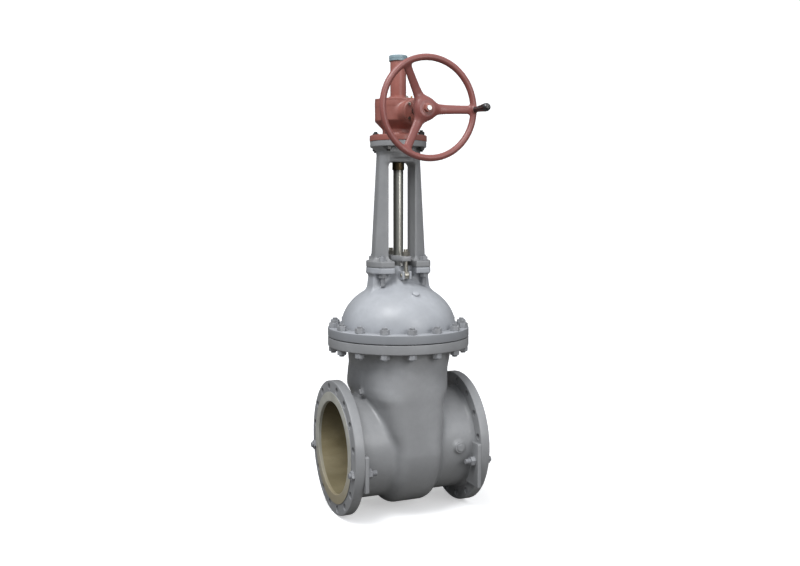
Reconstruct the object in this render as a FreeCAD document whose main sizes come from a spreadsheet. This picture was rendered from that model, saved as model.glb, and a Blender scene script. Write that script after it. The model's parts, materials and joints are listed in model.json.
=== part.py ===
import FreeCAD, Part
import Sketcher
import math
import os
from FreeCAD import Vector, Placement, Rotation

# DN400 PN16 rising-stem wedge gate valve with a bevel-gear operator, standing open.
# Frame: origin where the flow axis (X) crosses the stem axis (Z); the handwheel faces -Y.
# Units are millimetres and degrees.

SIZES = [
    # alias, value, meaning
    ("bore_radius", 200.0, "port of the body"),
    ("face_half", 300.0, "half of the face-to-face length"),
    ("raised_radius", 241.0, "raised face of an end flange"),
    ("raised_height", 4.0, "height of the raised face"),
    ("flange_radius", 290.0, "end flange"),
    ("flange_back", 264.0, "distance of the flange back from the stem axis"),
    ("flange_pcr", 262.5, "bolt circle radius of an end flange"),
    ("flange_hole", 15.0, "bolt hole radius of an end flange"),
    ("flange_count", 16.0, "bolt holes of an end flange"),
    ("stub_radius", 225.0, "outside of the pipe stubs"),
    ("chamber_half", 104.0, "half thickness of the wedge chamber at the flow axis"),
    ("chamber_radius", 272.0, "bottom bowl of the wedge chamber"),
    ("wall", 22.0, "casting wall"),
    ("joint_radius", 310.0, "body to bonnet flanges"),
    ("joint_pcr", 288.0, "stud circle radius of the bonnet joint"),
    ("joint_low", 434.0, "underside of the body top flange"),
    ("joint_mid", 474.0, "gasket face of the body top flange"),
    ("gasket_thick", 4.0, "bonnet gasket"),
    ("bonnet_face", 516.0, "top of the bonnet flange"),
    ("dome_radius", 252.0, "dome outside at the bonnet flange"),
    ("dome_rise", 195.0, "rise of the dome ellipse"),
    ("neck_radius", 58.0, "stuffing box outside"),
    ("neck_top", 783.0, "top of the stuffing box"),
    ("box_radius", 36.0, "stuffing box bore"),
    ("box_floor", 704.0, "floor of the stuffing box"),
    ("stem_radius", 22.0, "stem"),
    ("stem_top", 1258.0, "top of the stem when the wedge is down on its seats"),
    ("running", 0.05, "radial running clearance"),
    ("seat_angle", 5.0, "wedge half angle in degrees"),
    ("seat_half", 46.0, "seat plane at the flow axis"),
    ("seat_inner", 190.0, "seat bore"),
    ("seat_outer", 216.0, "seat ring outside"),
    ("wedge_radius", 208.0, "wedge disc"),
    ("ear_low", 752.0, "underside of the bonnet ears"),
    ("ear_top", 778.0, "top of the bonnet ears"),
    ("ear_radius", 141.0, "outside of ears and yoke feet"),
    ("foot_top", 806.0, "top of the yoke feet"),
    ("bar_low", 1231.0, "underside of the yoke crossbar"),
    ("bar_top", 1295.0, "top of the yoke crossbar"),
    ("yoke_top", 1320.0, "gearbox face of the yoke"),
    ("yoke_flange", 122.0, "top flange of the yoke"),
    ("window_half", 61.0, "half width of the yoke window"),
    ("gearbox_pcr", 107.0, "stud circle radius of the gearbox joint"),
    ("box_flange_top", 1345.0, "top of the gearbox flange"),
    ("box_low", 1406.0, "bottom of the gearbox drum"),
    ("box_high", 1488.0, "top of the gearbox drum"),
    ("drum_radius", 101.0, "gearbox drum"),
    ("cover_top", 1498.0, "top of the gearbox cover"),
    ("cover_pcr", 95.5, "screw circle radius of the gearbox cover"),
    ("axis_height", 1432.0, "input shaft above the flow axis"),
    ("cap_pcr", 41.5, "screw circle radius of the bearing cap"),
    ("tube_radius", 34.2, "stem cover tube"),
    ("tube_top", 1676.0, "top of the stem cover tube"),
    ("cap_low", 1662.0, "bottom of the tube cap"),
    ("cap_top", 1686.0, "top of the tube cap"),
    ("cap_radius", 39.5, "tube cap"),
    ("sleeve_radius", 34.0, "drive sleeve of the stem nut"),
    ("rim_radius", 199.0, "handwheel rim centre line"),
    ("rim_tube", 13.2, "handwheel rim section radius"),
    ("rim_reach", 320.0, "rim plane in front of the stem axis"),
    ("shaft_radius", 15.0, "input shaft"),
    ("gear_module", 3.0, "bevel gear module at the heel"),
    ("pinion_teeth", 16.0, "teeth of the pinion"),
    ("wheel_teeth", 48.0, "teeth of the bevel wheel"),
    ("grip_radius", 206.0, "crank grip reference radius from the wheel axis"),
    ("lift", 400.0, "height of the wedge above its seats as modelled"),
]


# ---------------------------------------------------------------- linked sizes
def term(number):
    return number.text if isinstance(number, Size) else repr(float(number))


class Size(float):
    """A number that also carries the expression tying it to the sheet."""

    def __new__(cls, value, text):
        made = super().__new__(cls, value)
        made.text = text
        return made

    def __add__(self, other):
        return Size(float(self) + float(other), "(%s + %s)" % (self.text, term(other)))

    def __radd__(self, other):
        return Size(float(other) + float(self), "(%s + %s)" % (term(other), self.text))

    def __sub__(self, other):
        return Size(float(self) - float(other), "(%s - %s)" % (self.text, term(other)))

    def __rsub__(self, other):
        return Size(float(other) - float(self), "(%s - %s)" % (term(other), self.text))

    def __mul__(self, other):
        return Size(float(self) * float(other), "(%s * %s)" % (self.text, term(other)))

    def __rmul__(self, other):
        return Size(float(other) * float(self), "(%s * %s)" % (term(other), self.text))

    def __neg__(self):
        return Size(-float(self), "(-1 * %s)" % self.text)


class Table:
    """Holds each alias of the sheet as a Size."""


doc = FreeCAD.newDocument("gate_valve")
sheet = doc.addObject("Spreadsheet::Sheet", "Sizes")
size = Table()
sheet.set("A1", "size")
sheet.set("B1", "value")
sheet.set("C1", "meaning")
for row, (alias, value, note) in enumerate(SIZES, start=2):
    sheet.set("A%d" % row, alias)
    sheet.set("B%d" % row, repr(value))
    sheet.set("C%d" % row, note)
    sheet.setAlias("B%d" % row, alias)
doc.recompute()
for alias, value, note in SIZES:
    setattr(size, alias, Size(float(getattr(sheet, alias)), "Sizes." + alias))

# ---------------------------------------------------------------- shared places and fasteners
ORIGIN = Vector(0, 0, 0)
X = Vector(1, 0, 0)
Y = Vector(0, 1, 0)
Z = Vector(0, 0, 1)
SIDES = (-1, 1)

LIFT = Placement(Vector(0, 0, size.lift), Rotation())
# the input shaft's frame: local Z runs out to the front, local Y points up
TO_FRONT = Placement(Vector(0, 0, size.axis_height), Rotation(X, 90))

STEM_BORE = size.stem_radius + size.running
SHAFT_BORE = size.shaft_radius + size.running

# studs of the bonnet joint and of the brackets
JOINT_COUNT = 16
HALF_PITCH = 180.0 / JOINT_COUNT
BIG_STUD, BIG_CLEAR, BIG_FLATS, BIG_NUT = 12.0, 13, 36.0, 21.5
# studs between ears and yoke, and between yoke and gearbox: radius, hole, flats, nut height
YOKE_STUD, YOKE_CLEAR, YOKE_FLATS, YOKE_NUT = 10, 10.6, 30, 18
GEARBOX_STUD, GEARBOX_CLEAR, GEARBOX_FLATS, GEARBOX_NUT = 8, 8.5, 24, 14
SCREW, SCREW_CLEAR = 3.5, 4.2


def corners(x, y):
    return [(side * x, end * y) for side in SIDES for end in SIDES]


def ring(radius, count, start):
    """Points (x, y) on a circle about the origin, the first at start degrees."""
    angles = [math.radians(start + 360.0 / count * k) for k in range(count)]
    return [(radius * math.cos(a), radius * math.sin(a)) for a in angles]


JOINT_SPOTS = ring(size.joint_pcr, JOINT_COUNT, HALF_PITCH)
YOKE_SPOTS = corners(97, 58)
GEARBOX_SPOTS = corners(size.gearbox_pcr / math.sqrt(2), size.gearbox_pcr / math.sqrt(2))
COVER_SPOTS = ring(size.cover_pcr, 6, 30)
CAP_SPOTS = ring(size.cap_pcr, 4, 45)
pieces = []


# ---------------------------------------------------------------- sketch-based bodies
def origin_part(body, role):
    return next(part for part in body.Origin.OriginFeatures if part.Role == role)


def new_body(label, placement=None, exported=True):
    body = doc.addObject("PartDesign::Body", "B_" + label)
    body.Label = label
    body.AllowCompound = True
    if placement is not None:
        body.Placement = placement
    if exported:
        pieces.append(body)
    return body


def bind(thing, prop, number):
    if isinstance(number, Size):
        thing.setExpression(prop, number.text)


def new_sketch(body, plane, offset=None):
    sketch = body.newObject("Sketcher::SketchObject", "Sketch")
    sketch.AttachmentSupport = (origin_part(body, plane), "")
    sketch.MapMode = "FlatFace"
    if offset is not None:
        sketch.AttachmentOffset = Placement(Vector(0, 0, offset), Rotation())
        bind(sketch, "AttachmentOffset.Base.z", offset)
    return sketch


def place_point(sketch, geometry, end, x, y):
    """Fix one point of the sketch at (x, y) measured from the origin."""
    for number, kind, axis in ((x, "DistanceX", -2), (y, "DistanceY", -1)):
        if abs(number) < 1e-9:
            sketch.addConstraint(Sketcher.Constraint("PointOnObject", geometry, end, axis))
            continue
        # a negative distance is measured from the point to the origin
        if number > 0:
            ends = (-1, 1, geometry, end)
        else:
            ends = (geometry, end, -1, 1)
            number = -number
        index = sketch.addConstraint(Sketcher.Constraint(kind, *ends, float(number)))
        bind(sketch, "Constraints[%d]" % index, number)


def polygon(body, plane, outline, offset=None):
    sketch = new_sketch(body, plane, offset)
    count = len(outline)
    points = [Vector(x, y, 0) for x, y in outline]
    sketch.addGeometry(
        [Part.LineSegment(points[i], points[(i + 1) % count]) for i in range(count)], False)
    sketch.addConstraint(
        [Sketcher.Constraint("Coincident", i, 2, (i + 1) % count, 1) for i in range(count)])
    for i, (x, y) in enumerate(outline):
        place_point(sketch, i, 1, x, y)
    return sketch


def add_circle(sketch, x, y, radius):
    circle = sketch.addGeometry(Part.Circle(Vector(x, y, 0), Z, float(radius)), False)
    if abs(x) < 1e-9 and abs(y) < 1e-9:
        sketch.addConstraint(Sketcher.Constraint("Coincident", circle, 3, -1, 1))
    else:
        place_point(sketch, circle, 3, x, y)
    index = sketch.addConstraint(Sketcher.Constraint("Radius", circle, float(radius)))
    bind(sketch, "Constraints[%d]" % index, radius)


def circles(body, plane, rounds, offset=None):
    """Circles given as (x, y, radius) in one sketch."""
    sketch = new_sketch(body, plane, offset)
    for x, y, radius in rounds:
        add_circle(sketch, x, y, radius)
    return sketch


def feature(body, kind, sketch):
    made = body.newObject("PartDesign::" + kind, kind)
    made.Profile = sketch
    sketch.Visibility = False
    return made


def revolve(body, outline, kind="Revolution"):
    """Turn an outline of (radius, z) about local Z."""
    sketch = polygon(body, "XZ_Plane", outline)
    made = feature(body, kind, sketch)
    made.ReferenceAxis = (sketch, ["V_Axis"])
    made.Angle = 360.0
    return made


def pad(body, sketch, length):
    made = feature(body, "Pad", sketch)
    made.Length = float(length)
    bind(made, "Length", length)
    return made


def pocket_up(body, sketch, depth=None):
    """Pocket along the sketch normal, through everything when no depth is given."""
    doc.recompute()
    made = feature(body, "Pocket", sketch)
    if depth is None:
        made.Type = 1
    else:
        made.Length = depth
    made.Reversed = True
    doc.recompute()


def polar(body, original, count):
    doc.recompute()
    pattern = body.newObject("PartDesign::PolarPattern", "PolarPattern")
    pattern.Originals = [original]
    pattern.Axis = (origin_part(body, "Z_Axis"), [""])
    pattern.Angle = 360.0
    pattern.Occurrences = count
    body.Tip = pattern


def turned_piece(label, outline, placement=None):
    body = new_body(label, placement)
    revolve(body, outline)
    return body


def sleeve(label, inner, outer, low, top, placement=None):
    """Ring of rectangular section about local Z."""
    outline = [(inner, low), (outer, low), (outer, top), (inner, top)]
    turned_piece(label, outline, placement)


def hexagon(x, y, flats, turn=0.0):
    """Corners of a hexagon across flats, centred at (x, y)."""
    radius = flats / math.sqrt(3.0)
    angles = [math.radians(turn + 60 * i) for i in range(6)]
    return [(x + radius * math.cos(a), y + radius * math.sin(a)) for a in angles]


def nut_ring(label, circle, phase, low, height, flats, hole, count):
    """Hexagon nuts on a circle about local Z."""
    body = new_body(label)
    x, y = ring(circle, count, phase)[0]
    sketch = polygon(body, "XY_Plane", hexagon(x, y, flats, phase), low)
    add_circle(sketch, x, y, hole)
    polar(body, pad(body, sketch, height), count)


# ---------------------------------------------------------------- direct solids
def add_solid(label, shape, placement=None):
    made = doc.addObject("Part::Feature", "F_" + label)
    made.Label = label
    made.Shape = shape
    if placement is not None:
        made.Placement = placement
    pieces.append(made)


def rod(radius, low, high, at=ORIGIN, along=Z):
    """Cylinder from low to high along a direction, measured from a point."""
    along = Vector(along).normalize()
    return Part.makeCylinder(radius, high - low, at + along * low, along)


def box(x0, x1, y0, y1, z0, z1):
    """Box between two limits on each axis, given in either order."""
    spans = [sorted(pair) for pair in ((x0, x1), (y0, y1), (z0, z1))]
    lengths = [high - low for low, high in spans]
    return Part.makeBox(*lengths, Vector(*[low for low, high in spans]))


def fused(parts):
    return parts[0].fuse(parts[1:]).removeSplitter()


def one(shape):
    """The solid itself when the shape holds just one."""
    return shape.Solids[0] if len(shape.Solids) == 1 else shape


def cut_away(shape, cutters):
    return one(shape.cut(Part.makeCompound(cutters)))


def moved(shape, placement):
    shape.Placement = placement
    return shape


def rotated(shape, degrees):
    made = shape.copy()
    made.rotate(ORIGIN, Z, degrees)
    return made


def flat_face(points):
    return Part.Face(Part.makePolygon(points + points[:1]))


def spun(outline):
    """Solid of an outline of (radius, z) about local Z."""
    return flat_face([Vector(x, 0, z) for x, z in outline]).revolve(ORIGIN, Z, 360)


def closed_curve(points):
    curve = Part.BSplineCurve()
    curve.interpolate(points, PeriodicFlag=True)
    return Part.Wire([curve.toShape()])


def open_curve(points):
    curve = Part.BSplineCurve()
    curve.interpolate(points)
    return curve.toShape()


def line(start, end):
    return Part.LineSegment(start, end).toShape()


def hex_prism(flats, low, height, turn=0.0):
    points = [Vector(x, y, low) for x, y in hexagon(0, 0, flats, turn)]
    return flat_face(points).extrude(Vector(0, 0, height))


def hex_nut(flats, hole, low, top, turn=0.0):
    """Nut chamfered on its top millimetre; hole 0 leaves it solid."""
    reach = flats / math.sqrt(3.0)
    prism = hex_prism(flats, low, top - low, turn)
    cone = Part.makeCone(reach + 0.1, reach - 1.7 + 0.1, 1.0, Vector(0, 0, top - 1.0))
    span = reach + 1
    lower = prism.common(box(-span, span, -span, span, low, top - 1.0))
    nut = fused([lower, prism.common(cone)])
    return nut.cut(rod(hole, low - 1, top + 1)) if hole else nut


def cap_screw(head_radius, low, seat, top):
    """Screw with a hexagon socket 3 deep."""
    screw = fused([rod(SCREW, low, seat), rod(head_radius, seat, top)])
    return screw.cut(hex_prism(SCREW * 1.5, top - 3, 5))


def copies(label, shape, spots, placement=None):
    """One fastener repeated at (x, y) spots, kept as separate solids."""
    items = []
    for x, y in spots:
        item = shape.copy()
        item.translate(Vector(x, y, 0))
        items.append(item)
    add_solid(label, Part.makeCompound(items), placement)


def holes(radius, low, high, spots):
    """Upright cutters at (x, y) spots."""
    return [rod(radius, low, high, Vector(x, y, 0)) for x, y in spots]


# ---------------------------------------------------------------- valve body
STUB_BOSS_X, STUB_BOSS_Z, STUB_BOSS_END = 190, 6, 238
NECK_BOSS_AT, NECK_BOSS_END = Vector(0, -70, 248), 196
RING_BACK = 20.0            # back of a seat ring, behind the seat plane
WEDGE_RING_BACK = -6.0      # back of a wedge ring


def seat_frame(side):
    """Placement whose Z leaves the wedge through the middle of a seat."""
    tilt = Rotation(Y, side * (90 + size.seat_angle))
    return Placement(Vector(side * size.seat_half, 0, 0), tilt)


def oval(half_x, half_y, power, z, count, shift):
    """Closed curve |x/half_x|^power + |y/half_y|^power = 1 at z, moved along X by shift."""
    points = []
    for i in range(count):
        angle = 2 * math.pi * i / count
        cos, sin = math.cos(angle), math.sin(angle)
        scale = (abs(cos) ** power + abs(sin) ** power) ** (-1.0 / power)
        points.append(Vector(half_x * scale * cos + shift, half_y * scale * sin, z))
    return closed_curve(points)


def loft_ovals(levels, count):
    """levels: z, half x, half y, power, shift"""
    wires = [oval(hx, hy, power, z, count, shift) for z, hx, hy, power, shift in levels]
    return Part.makeLoft(wires, True, False)


def chamber(inset, top):
    """Upper neck of lofted ovals and the U-shaped wedge pocket below it."""
    half, radius = size.chamber_half - inset, size.chamber_radius - inset
    neck = loft_ovals([
        (140, half - 8, radius - 14, 5.0, 0),
        (200, half + 20, radius - 3, 5.0, -4),
        (238, half + 57, radius - 5, 4.5, -12),
        (272, half + 88, radius - 10, 3.2, -13),
        (320, half + 102, radius - 14, 2.4, -10),
        (390, 216 - inset, 256 - inset, 2.0, -6),
        (top, 218 - inset, 257 - inset, 2.0, -6),
    ], 32)
    # x from the stem axis, drop of the bowl radius there
    drops = [(0, 0.0), (45, 1.0), (70, 6.0), (88, 17.0), (98, 32.0), (half, 52.0)]
    drops = [(x, drop) for x, drop in drops if x <= half]
    stations = [(-x, drop) for x, drop in reversed(drops[1:])] + drops
    wires = []
    for x, drop in stations:
        deep = radius - drop
        left_top, left = Vector(x, -(deep - 9), 236), Vector(x, -deep, 0)
        right_top, right = Vector(x, deep - 9, 236), Vector(x, deep, 0)
        bottom = Vector(x, 0, -(deep - 11))
        wires.append(Part.Wire([
            line(left_top, left), Part.Arc(left, bottom, right).toShape(),
            line(right, right_top), line(right_top, left_top)]))
    return [neck, Part.makeLoft(wires, True, False)]


def body_outside():
    back = size.flange_back
    flare = loft_ovals([
        (398, 212, 253, 2.0, -7),
        (418, 220, 258, 2.0, -6),
        (size.joint_low + 2, 233, 263, 2.0, -3),
    ], 24)
    shell = fused(chamber(0.0, size.joint_low + 10) + [
        flare,
        rod(size.stub_radius, -back - 2, back + 2, along=X),
        rod(size.joint_radius, size.joint_low, size.joint_mid),
    ])
    ends = []
    for side in SIDES:
        out = X * side
        ends += [
            rod(size.flange_radius, back, size.face_half - size.raised_height, along=out),
            rod(size.raised_radius, back, size.face_half, along=out),
            Part.makeCone(size.stub_radius, size.stub_radius + 12, 18, out * (back - 18), out),
        ]
    # round bosses on the stubs and the small plug boss on the neck
    for side in (1, -1):
        at = Vector(side * STUB_BOSS_X, 0, STUB_BOSS_Z)
        ends.append(rod(23, 200, STUB_BOSS_END, at, Y * -side))
    ends.append(rod(17, 95, NECK_BOSS_END, NECK_BOSS_AT, -X))
    return fused([shell] + ends)


def valve_body():
    shell = body_outside().cut(fused(chamber(size.wall, size.joint_mid + 20)))
    # seat carriers inside the chamber, then the wedge guide rails
    inner = []
    for side in SIDES:
        tube = rod(236, 30, size.chamber_half - 4, along=X * side)
        inner.append(tube.common(moved(rod(400, 8, 200), seat_frame(side))))
    rails = [box(-9, 9, side * 213.5, side * 250, -60, 428) for side in SIDES]
    for piece in inner + rails:
        shell = shell.fuse(piece)

    cutters = []
    count = int(size.flange_count)
    far = size.face_half + 5
    for side in SIDES:
        cutters.append(rod(size.bore_radius, 30, far, along=X * side))
        cutters.append(moved(rod(size.seat_outer, 7.9, RING_BACK), seat_frame(side)))
        for z, y in ring(size.flange_pcr, count, 180.0 / count):
            at = Vector(0, y, z)
            cutters.append(rod(size.flange_hole, size.flange_back - 30, far, at, X * side))
    cutters += holes(BIG_CLEAR, size.joint_low - 5, size.joint_mid + 5, JOINT_SPOTS)
    # holes of the plugs
    for side in (1, -1):
        at = Vector(side * STUB_BOSS_X, 0, STUB_BOSS_Z)
        cutters.append(rod(10, 221, 245, at, Y * -side))
    cutters.append(rod(9, 180, 204, NECK_BOSS_AT, -X))
    cutters.append(rod(14, NECK_BOSS_END, 220, NECK_BOSS_AT, -X))
    add_solid("valve_body", cut_away(shell, cutters))


def seat_rings():
    for side, label in zip(SIDES, ("inlet_seat_ring", "outlet_seat_ring")):
        sleeve(label, size.seat_inner, size.seat_outer, size.running, RING_BACK,
               seat_frame(side))


# ---------------------------------------------------------------- wedge and stem
HEAD_LOW, HEAD_TOP = 210, 236     # T-head of the stem, with the wedge on its seats
THREAD_PITCH, THREAD_GROOVES = 8.0, 56


def wedge():
    disc = rod(size.wedge_radius, -85, 85, along=X)
    for side in SIDES:
        disc = disc.common(moved(rod(500, -300, WEDGE_RING_BACK), seat_frame(side)))
    # groove round the edge, between the two faces
    disc = disc.cut(rod(230, -4, 4, along=X).cut(rod(125, -5, 5, along=X)))
    hub = box(-46, 46, -52, 52, 150, 258)
    lugs = [box(-22, 22, side * 211 - 11, side * 211 + 11, -48, 48) for side in SIDES]
    slots = [box(-9.8, 9.8, side * 222 - 9, side * 222 + 9, -60, 60) for side in SIDES]
    slots.append(box(-60, 60, -37, 37, HEAD_LOW - 0.1, HEAD_TOP + 0.1))
    slots.append(box(-60, 60, -22.6, 22.6, 230, 270))
    add_solid("wedge", cut_away(fused([disc, hub] + lugs), slots), LIFT)


def wedge_rings():
    for side, label in zip(SIDES, ("inlet_wedge_ring", "outlet_wedge_ring")):
        sleeve(label, size.seat_inner - 2, size.wedge_radius, WEDGE_RING_BACK, -size.running,
               LIFT.multiply(seat_frame(side)))


def stem():
    radius, top = size.stem_radius, size.stem_top
    body = turned_piece("stem", [
        (0, HEAD_LOW), (36, HEAD_LOW), (36, HEAD_TOP), (radius, HEAD_TOP), (radius, 262),
        (30, 262), (30, 272), (radius, 280), (radius, top - 3), (radius - 3, top), (0, top),
    ], LIFT)
    # the thread is a row of separate ring grooves
    groove = revolve(body, [(18, 811), (18, 813), (23, 814.6), (23, 809.4)], kind="Groove")
    doc.recompute()
    pattern = body.newObject("PartDesign::LinearPattern", "LinearPattern")
    pattern.Originals = [groove]
    pattern.Direction = (origin_part(body, "Z_Axis"), [""])
    pattern.Length = THREAD_PITCH * (THREAD_GROOVES - 1)
    pattern.Occurrences = THREAD_GROOVES
    body.Tip = pattern


# ---------------------------------------------------------------- bonnet
BONNET_LOW = size.joint_mid + size.gasket_thick
DOME_END = 96.0                   # radius where the dome runs into the throat
BUSH_LOW, BUSH_RADIUS = 681, 30   # backseat bush
HINGE_Y, HINGE_Z, HINGE_PIN = 85.0, 745.0, 8.0
PLUG_AT = Vector(12, -160, 667)
PLUG_DIR = Vector(0.04, -0.536, 0.843).normalize()


def bonnet_gasket():
    sleeve("bonnet_gasket", 236, 272, size.joint_mid, BONNET_LOW)


def dome_points(radius, rise, end_radius):
    """Points on the dome ellipse from the bonnet flange up to end_radius."""
    end, count = math.acos(end_radius / radius), 16
    angles = [end * i / count for i in range(count + 1)]
    return [Vector(radius * math.cos(a), 0, size.bonnet_face + rise * math.sin(a))
            for a in angles]


def dome_outside():
    low, face, flange = BONNET_LOW, size.bonnet_face, size.joint_radius
    neck, neck_top = size.neck_radius, size.neck_top
    dome = dome_points(size.dome_radius, size.dome_rise, DOME_END)
    end = dome[-1]
    throat = [end, Vector(80, 0, end.z + 8), Vector(66, 0, end.z + 22), Vector(neck, 0, 742)]
    edges = [
        line(Vector(0, 0, low), Vector(flange, 0, low)),
        line(Vector(flange, 0, low), Vector(flange, 0, face)),
        line(Vector(flange, 0, face), dome[0]),
        open_curve(dome), open_curve(throat),
        line(throat[-1], Vector(neck, 0, neck_top)),
        line(Vector(neck, 0, neck_top), Vector(0, 0, neck_top)),
        line(Vector(0, 0, neck_top), Vector(0, 0, low)),
    ]
    return Part.Face(Part.Wire(edges)).revolve(ORIGIN, Z, 360)


def dome_inside():
    low, radius = BONNET_LOW - 10, size.dome_radius - size.wall
    dome = dome_points(radius, size.dome_rise - size.wall - 1, 0.0)
    edges = [
        line(Vector(0, 0, low), Vector(radius, 0, low)),
        line(Vector(radius, 0, low), dome[0]), open_curve(dome),
        line(Vector(0, 0, dome[-1].z), Vector(0, 0, low)),
    ]
    return Part.Face(Part.Wire(edges)).revolve(ORIGIN, Z, 360)


def ears(low, top):
    """The two side pieces of a disc, used for bonnet ears and yoke feet."""
    disc = rod(size.ear_radius, low, top)
    return [disc.common(box(side * 98 - 48, side * 98 + 48, -86, 86, low - 5, top + 5))
            for side in SIDES]


def bonnet():
    ear_low = size.ear_low
    extra = ears(ear_low, size.ear_top)
    # distance from the stem axis, z
    rib_outline = [(88, ear_low + 2), (127, ear_low + 2), (138, 674), (146, 655), (88, 655)]
    for side in SIDES:
        rib = flat_face([Vector(side * x, -38, z) for x, z in rib_outline])
        extra.append(rib.extrude(Vector(0, 76, 0)))
        extra.append(box(side * 45, side * 95, -11, 11, 680, ear_low + 2))
        # cheeks of the swing bolt hinges
        for cheek in SIDES:
            extra.append(box(cheek * 11, cheek * 21, side * 50, side * 101, 727, 763))
    shape = fused([dome_outside()] + extra).cut(dome_inside())
    shape = fused([shape, rod(48, BUSH_LOW, size.box_floor)])
    cutters = [
        rod(size.box_radius, size.box_floor, 800),
        rod(BUSH_RADIUS, 660, size.box_floor + 1),
    ]
    cutters += holes(BIG_CLEAR, BONNET_LOW - 5, size.bonnet_face + 5, JOINT_SPOTS)
    cutters += holes(YOKE_CLEAR, ear_low - 5, size.ear_top + 5, YOKE_SPOTS)
    for side in SIDES:
        cutters.append(rod(HINGE_PIN, -25, 25, Vector(0, side * HINGE_Y, HINGE_Z), X))
    cutters.append(rod(10, -14, 40, PLUG_AT, PLUG_DIR))
    add_solid("bonnet", cut_away(shape, cutters))


def bonnet_fasteners():
    low, top = 405.0, 546.0
    body = new_body("bonnet_studs")
    sketch = circles(body, "XY_Plane", [(*JOINT_SPOTS[0], BIG_STUD)], low)
    polar(body, pad(body, sketch, top - low), JOINT_COUNT)
    for label, base in (
        ("bonnet_nuts_top", size.bonnet_face),
        ("bonnet_nuts_bottom", size.joint_low - BIG_NUT),
    ):
        nut_ring(label, size.joint_pcr, HALF_PITCH, base, BIG_NUT, BIG_FLATS, BIG_STUD,
                 JOINT_COUNT)


def dome_plug():
    outline = [(0, -14), (10, -14), (10, 2), (16, 2), (16, 9), (14, 12), (0, 12)]
    turned_piece("dome_plug", outline, Placement(PLUG_AT, Rotation(Z, PLUG_DIR)))


def backseat_bush():
    sleeve("backseat_bush", STEM_BORE, BUSH_RADIUS, BUSH_LOW, size.box_floor)


# ---------------------------------------------------------------- packing and gland
PACKING_LOW = size.box_floor + 6
PACKING_PITCH, PACKING_COUNT, PACKING_GAP = 14.0, 4, 0.2
GLAND_LOW, GLAND_THICK = 806.0, 22.0
SWING_BOLT = 10
GLAND_OUTLINE = [   # x, y
    (34, -52), (20, -100), (-20, -100), (-34, -52), (-46, -20), (-46, 20),
    (-34, 52), (-20, 100), (20, 100), (34, 52), (46, 20), (46, -20),
]


def packing():
    sleeve("packing_washer", STEM_BORE, size.box_radius, size.box_floor, PACKING_LOW)
    body = new_body("packing_rings")
    for k in range(PACKING_COUNT):
        low = PACKING_LOW + PACKING_PITCH * k + PACKING_GAP
        top = PACKING_LOW + PACKING_PITCH * (k + 1)
        revolve(body, [(STEM_BORE, low), (size.box_radius, low), (size.box_radius, top),
                       (STEM_BORE, top)])
        doc.recompute()


def gland_follower():
    low = PACKING_LOW + PACKING_PITCH * PACKING_COUNT
    outer = size.box_radius - 0.1
    turned_piece("gland_follower", [
        (STEM_BORE, low), (outer, low), (outer, 798), (44, 798), (44, GLAND_LOW),
        (STEM_BORE, GLAND_LOW)])


def gland_flange():
    body = new_body("gland_flange")
    pad(body, polygon(body, "XY_Plane", GLAND_OUTLINE, GLAND_LOW), GLAND_THICK)
    doc.recompute()
    rounds = [(0, 0, size.stem_radius + 3), (0, HINGE_Y, 11), (0, -HINGE_Y, 11)]
    pocket_up(body, circles(body, "XY_Plane", rounds, 800.0))


def gland_bolts():
    # an eye on the hinge pin with a shank up through the gland flange
    bolts = []
    for side in SIDES:
        at = Vector(0, side * HINGE_Y, HINGE_Z)
        bolt = fused([rod(16, -10, 10, at, X), rod(SWING_BOLT, 0, 113, at)])
        bolts.append(one(bolt.cut(rod(HINGE_PIN, -20, 20, at, X))))
    add_solid("gland_swing_bolts", Part.makeCompound(bolts))

    body = new_body("gland_hinge_pins")
    for side in SIDES:
        spot = (side * HINGE_Y, HINGE_Z, HINGE_PIN)
        pad(body, circles(body, "YZ_Plane", [spot], -24.0), 48.0)
    nut_ring("gland_nuts", HINGE_Y, 90.0, GLAND_LOW + GLAND_THICK, 19.0, 30.0, SWING_BOLT, 2)


# ---------------------------------------------------------------- yoke
def yoke_leg(side):
    inner = size.window_half
    sections = []
    for z, outer in (
        (size.foot_top - 2, 120.5), (size.bar_low + 20, 94.5), (size.bar_top, 90.5),
    ):
        outline = [(inner, -45), (inner + 12, -45), (outer, -27), (outer, 27),
                   (inner + 12, 45), (inner, 45)]
        points = [Vector(side * x, y, z) for x, y in outline]
        sections.append(Part.makePolygon(points + points[:1]))
    return Part.makeLoft(sections, True, True)


def yoke():
    half, foot_top, bar_top = size.window_half + 2, size.foot_top, size.bar_top
    flare = Part.makeCone(92, size.yoke_flange, 22, Vector(0, 0, bar_top - 20))
    shape = fused(ears(size.ear_top, foot_top) + [yoke_leg(side) for side in SIDES] + [
        box(-half, half, -45, 45, size.bar_low, bar_top),
        flare.common(box(-130, 130, -58, 58, 1200, 1400)),
        rod(62, size.bar_low + 20, bar_top),
        rod(size.yoke_flange, bar_top, size.yoke_top),
    ])
    cutters = [
        rod(size.sleeve_radius + size.running, 1100, 1400),
        rod(52, 1296, 1330),
        rod(size.neck_radius + 0.4, size.ear_top - 5, size.neck_top + 0.5),
    ]
    cutters += holes(YOKE_CLEAR, size.ear_top - 5, foot_top + 2, YOKE_SPOTS)
    cutters += holes(GEARBOX_CLEAR, 1290, 1330, GEARBOX_SPOTS)
    # room for the nuts beside the legs and the crossbar
    cutters += holes(17.6, foot_top, foot_top + 24, YOKE_SPOTS)
    cutters += holes(14.5, 1250, bar_top, GEARBOX_SPOTS)
    add_solid("yoke", cut_away(shape, cutters))


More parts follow.
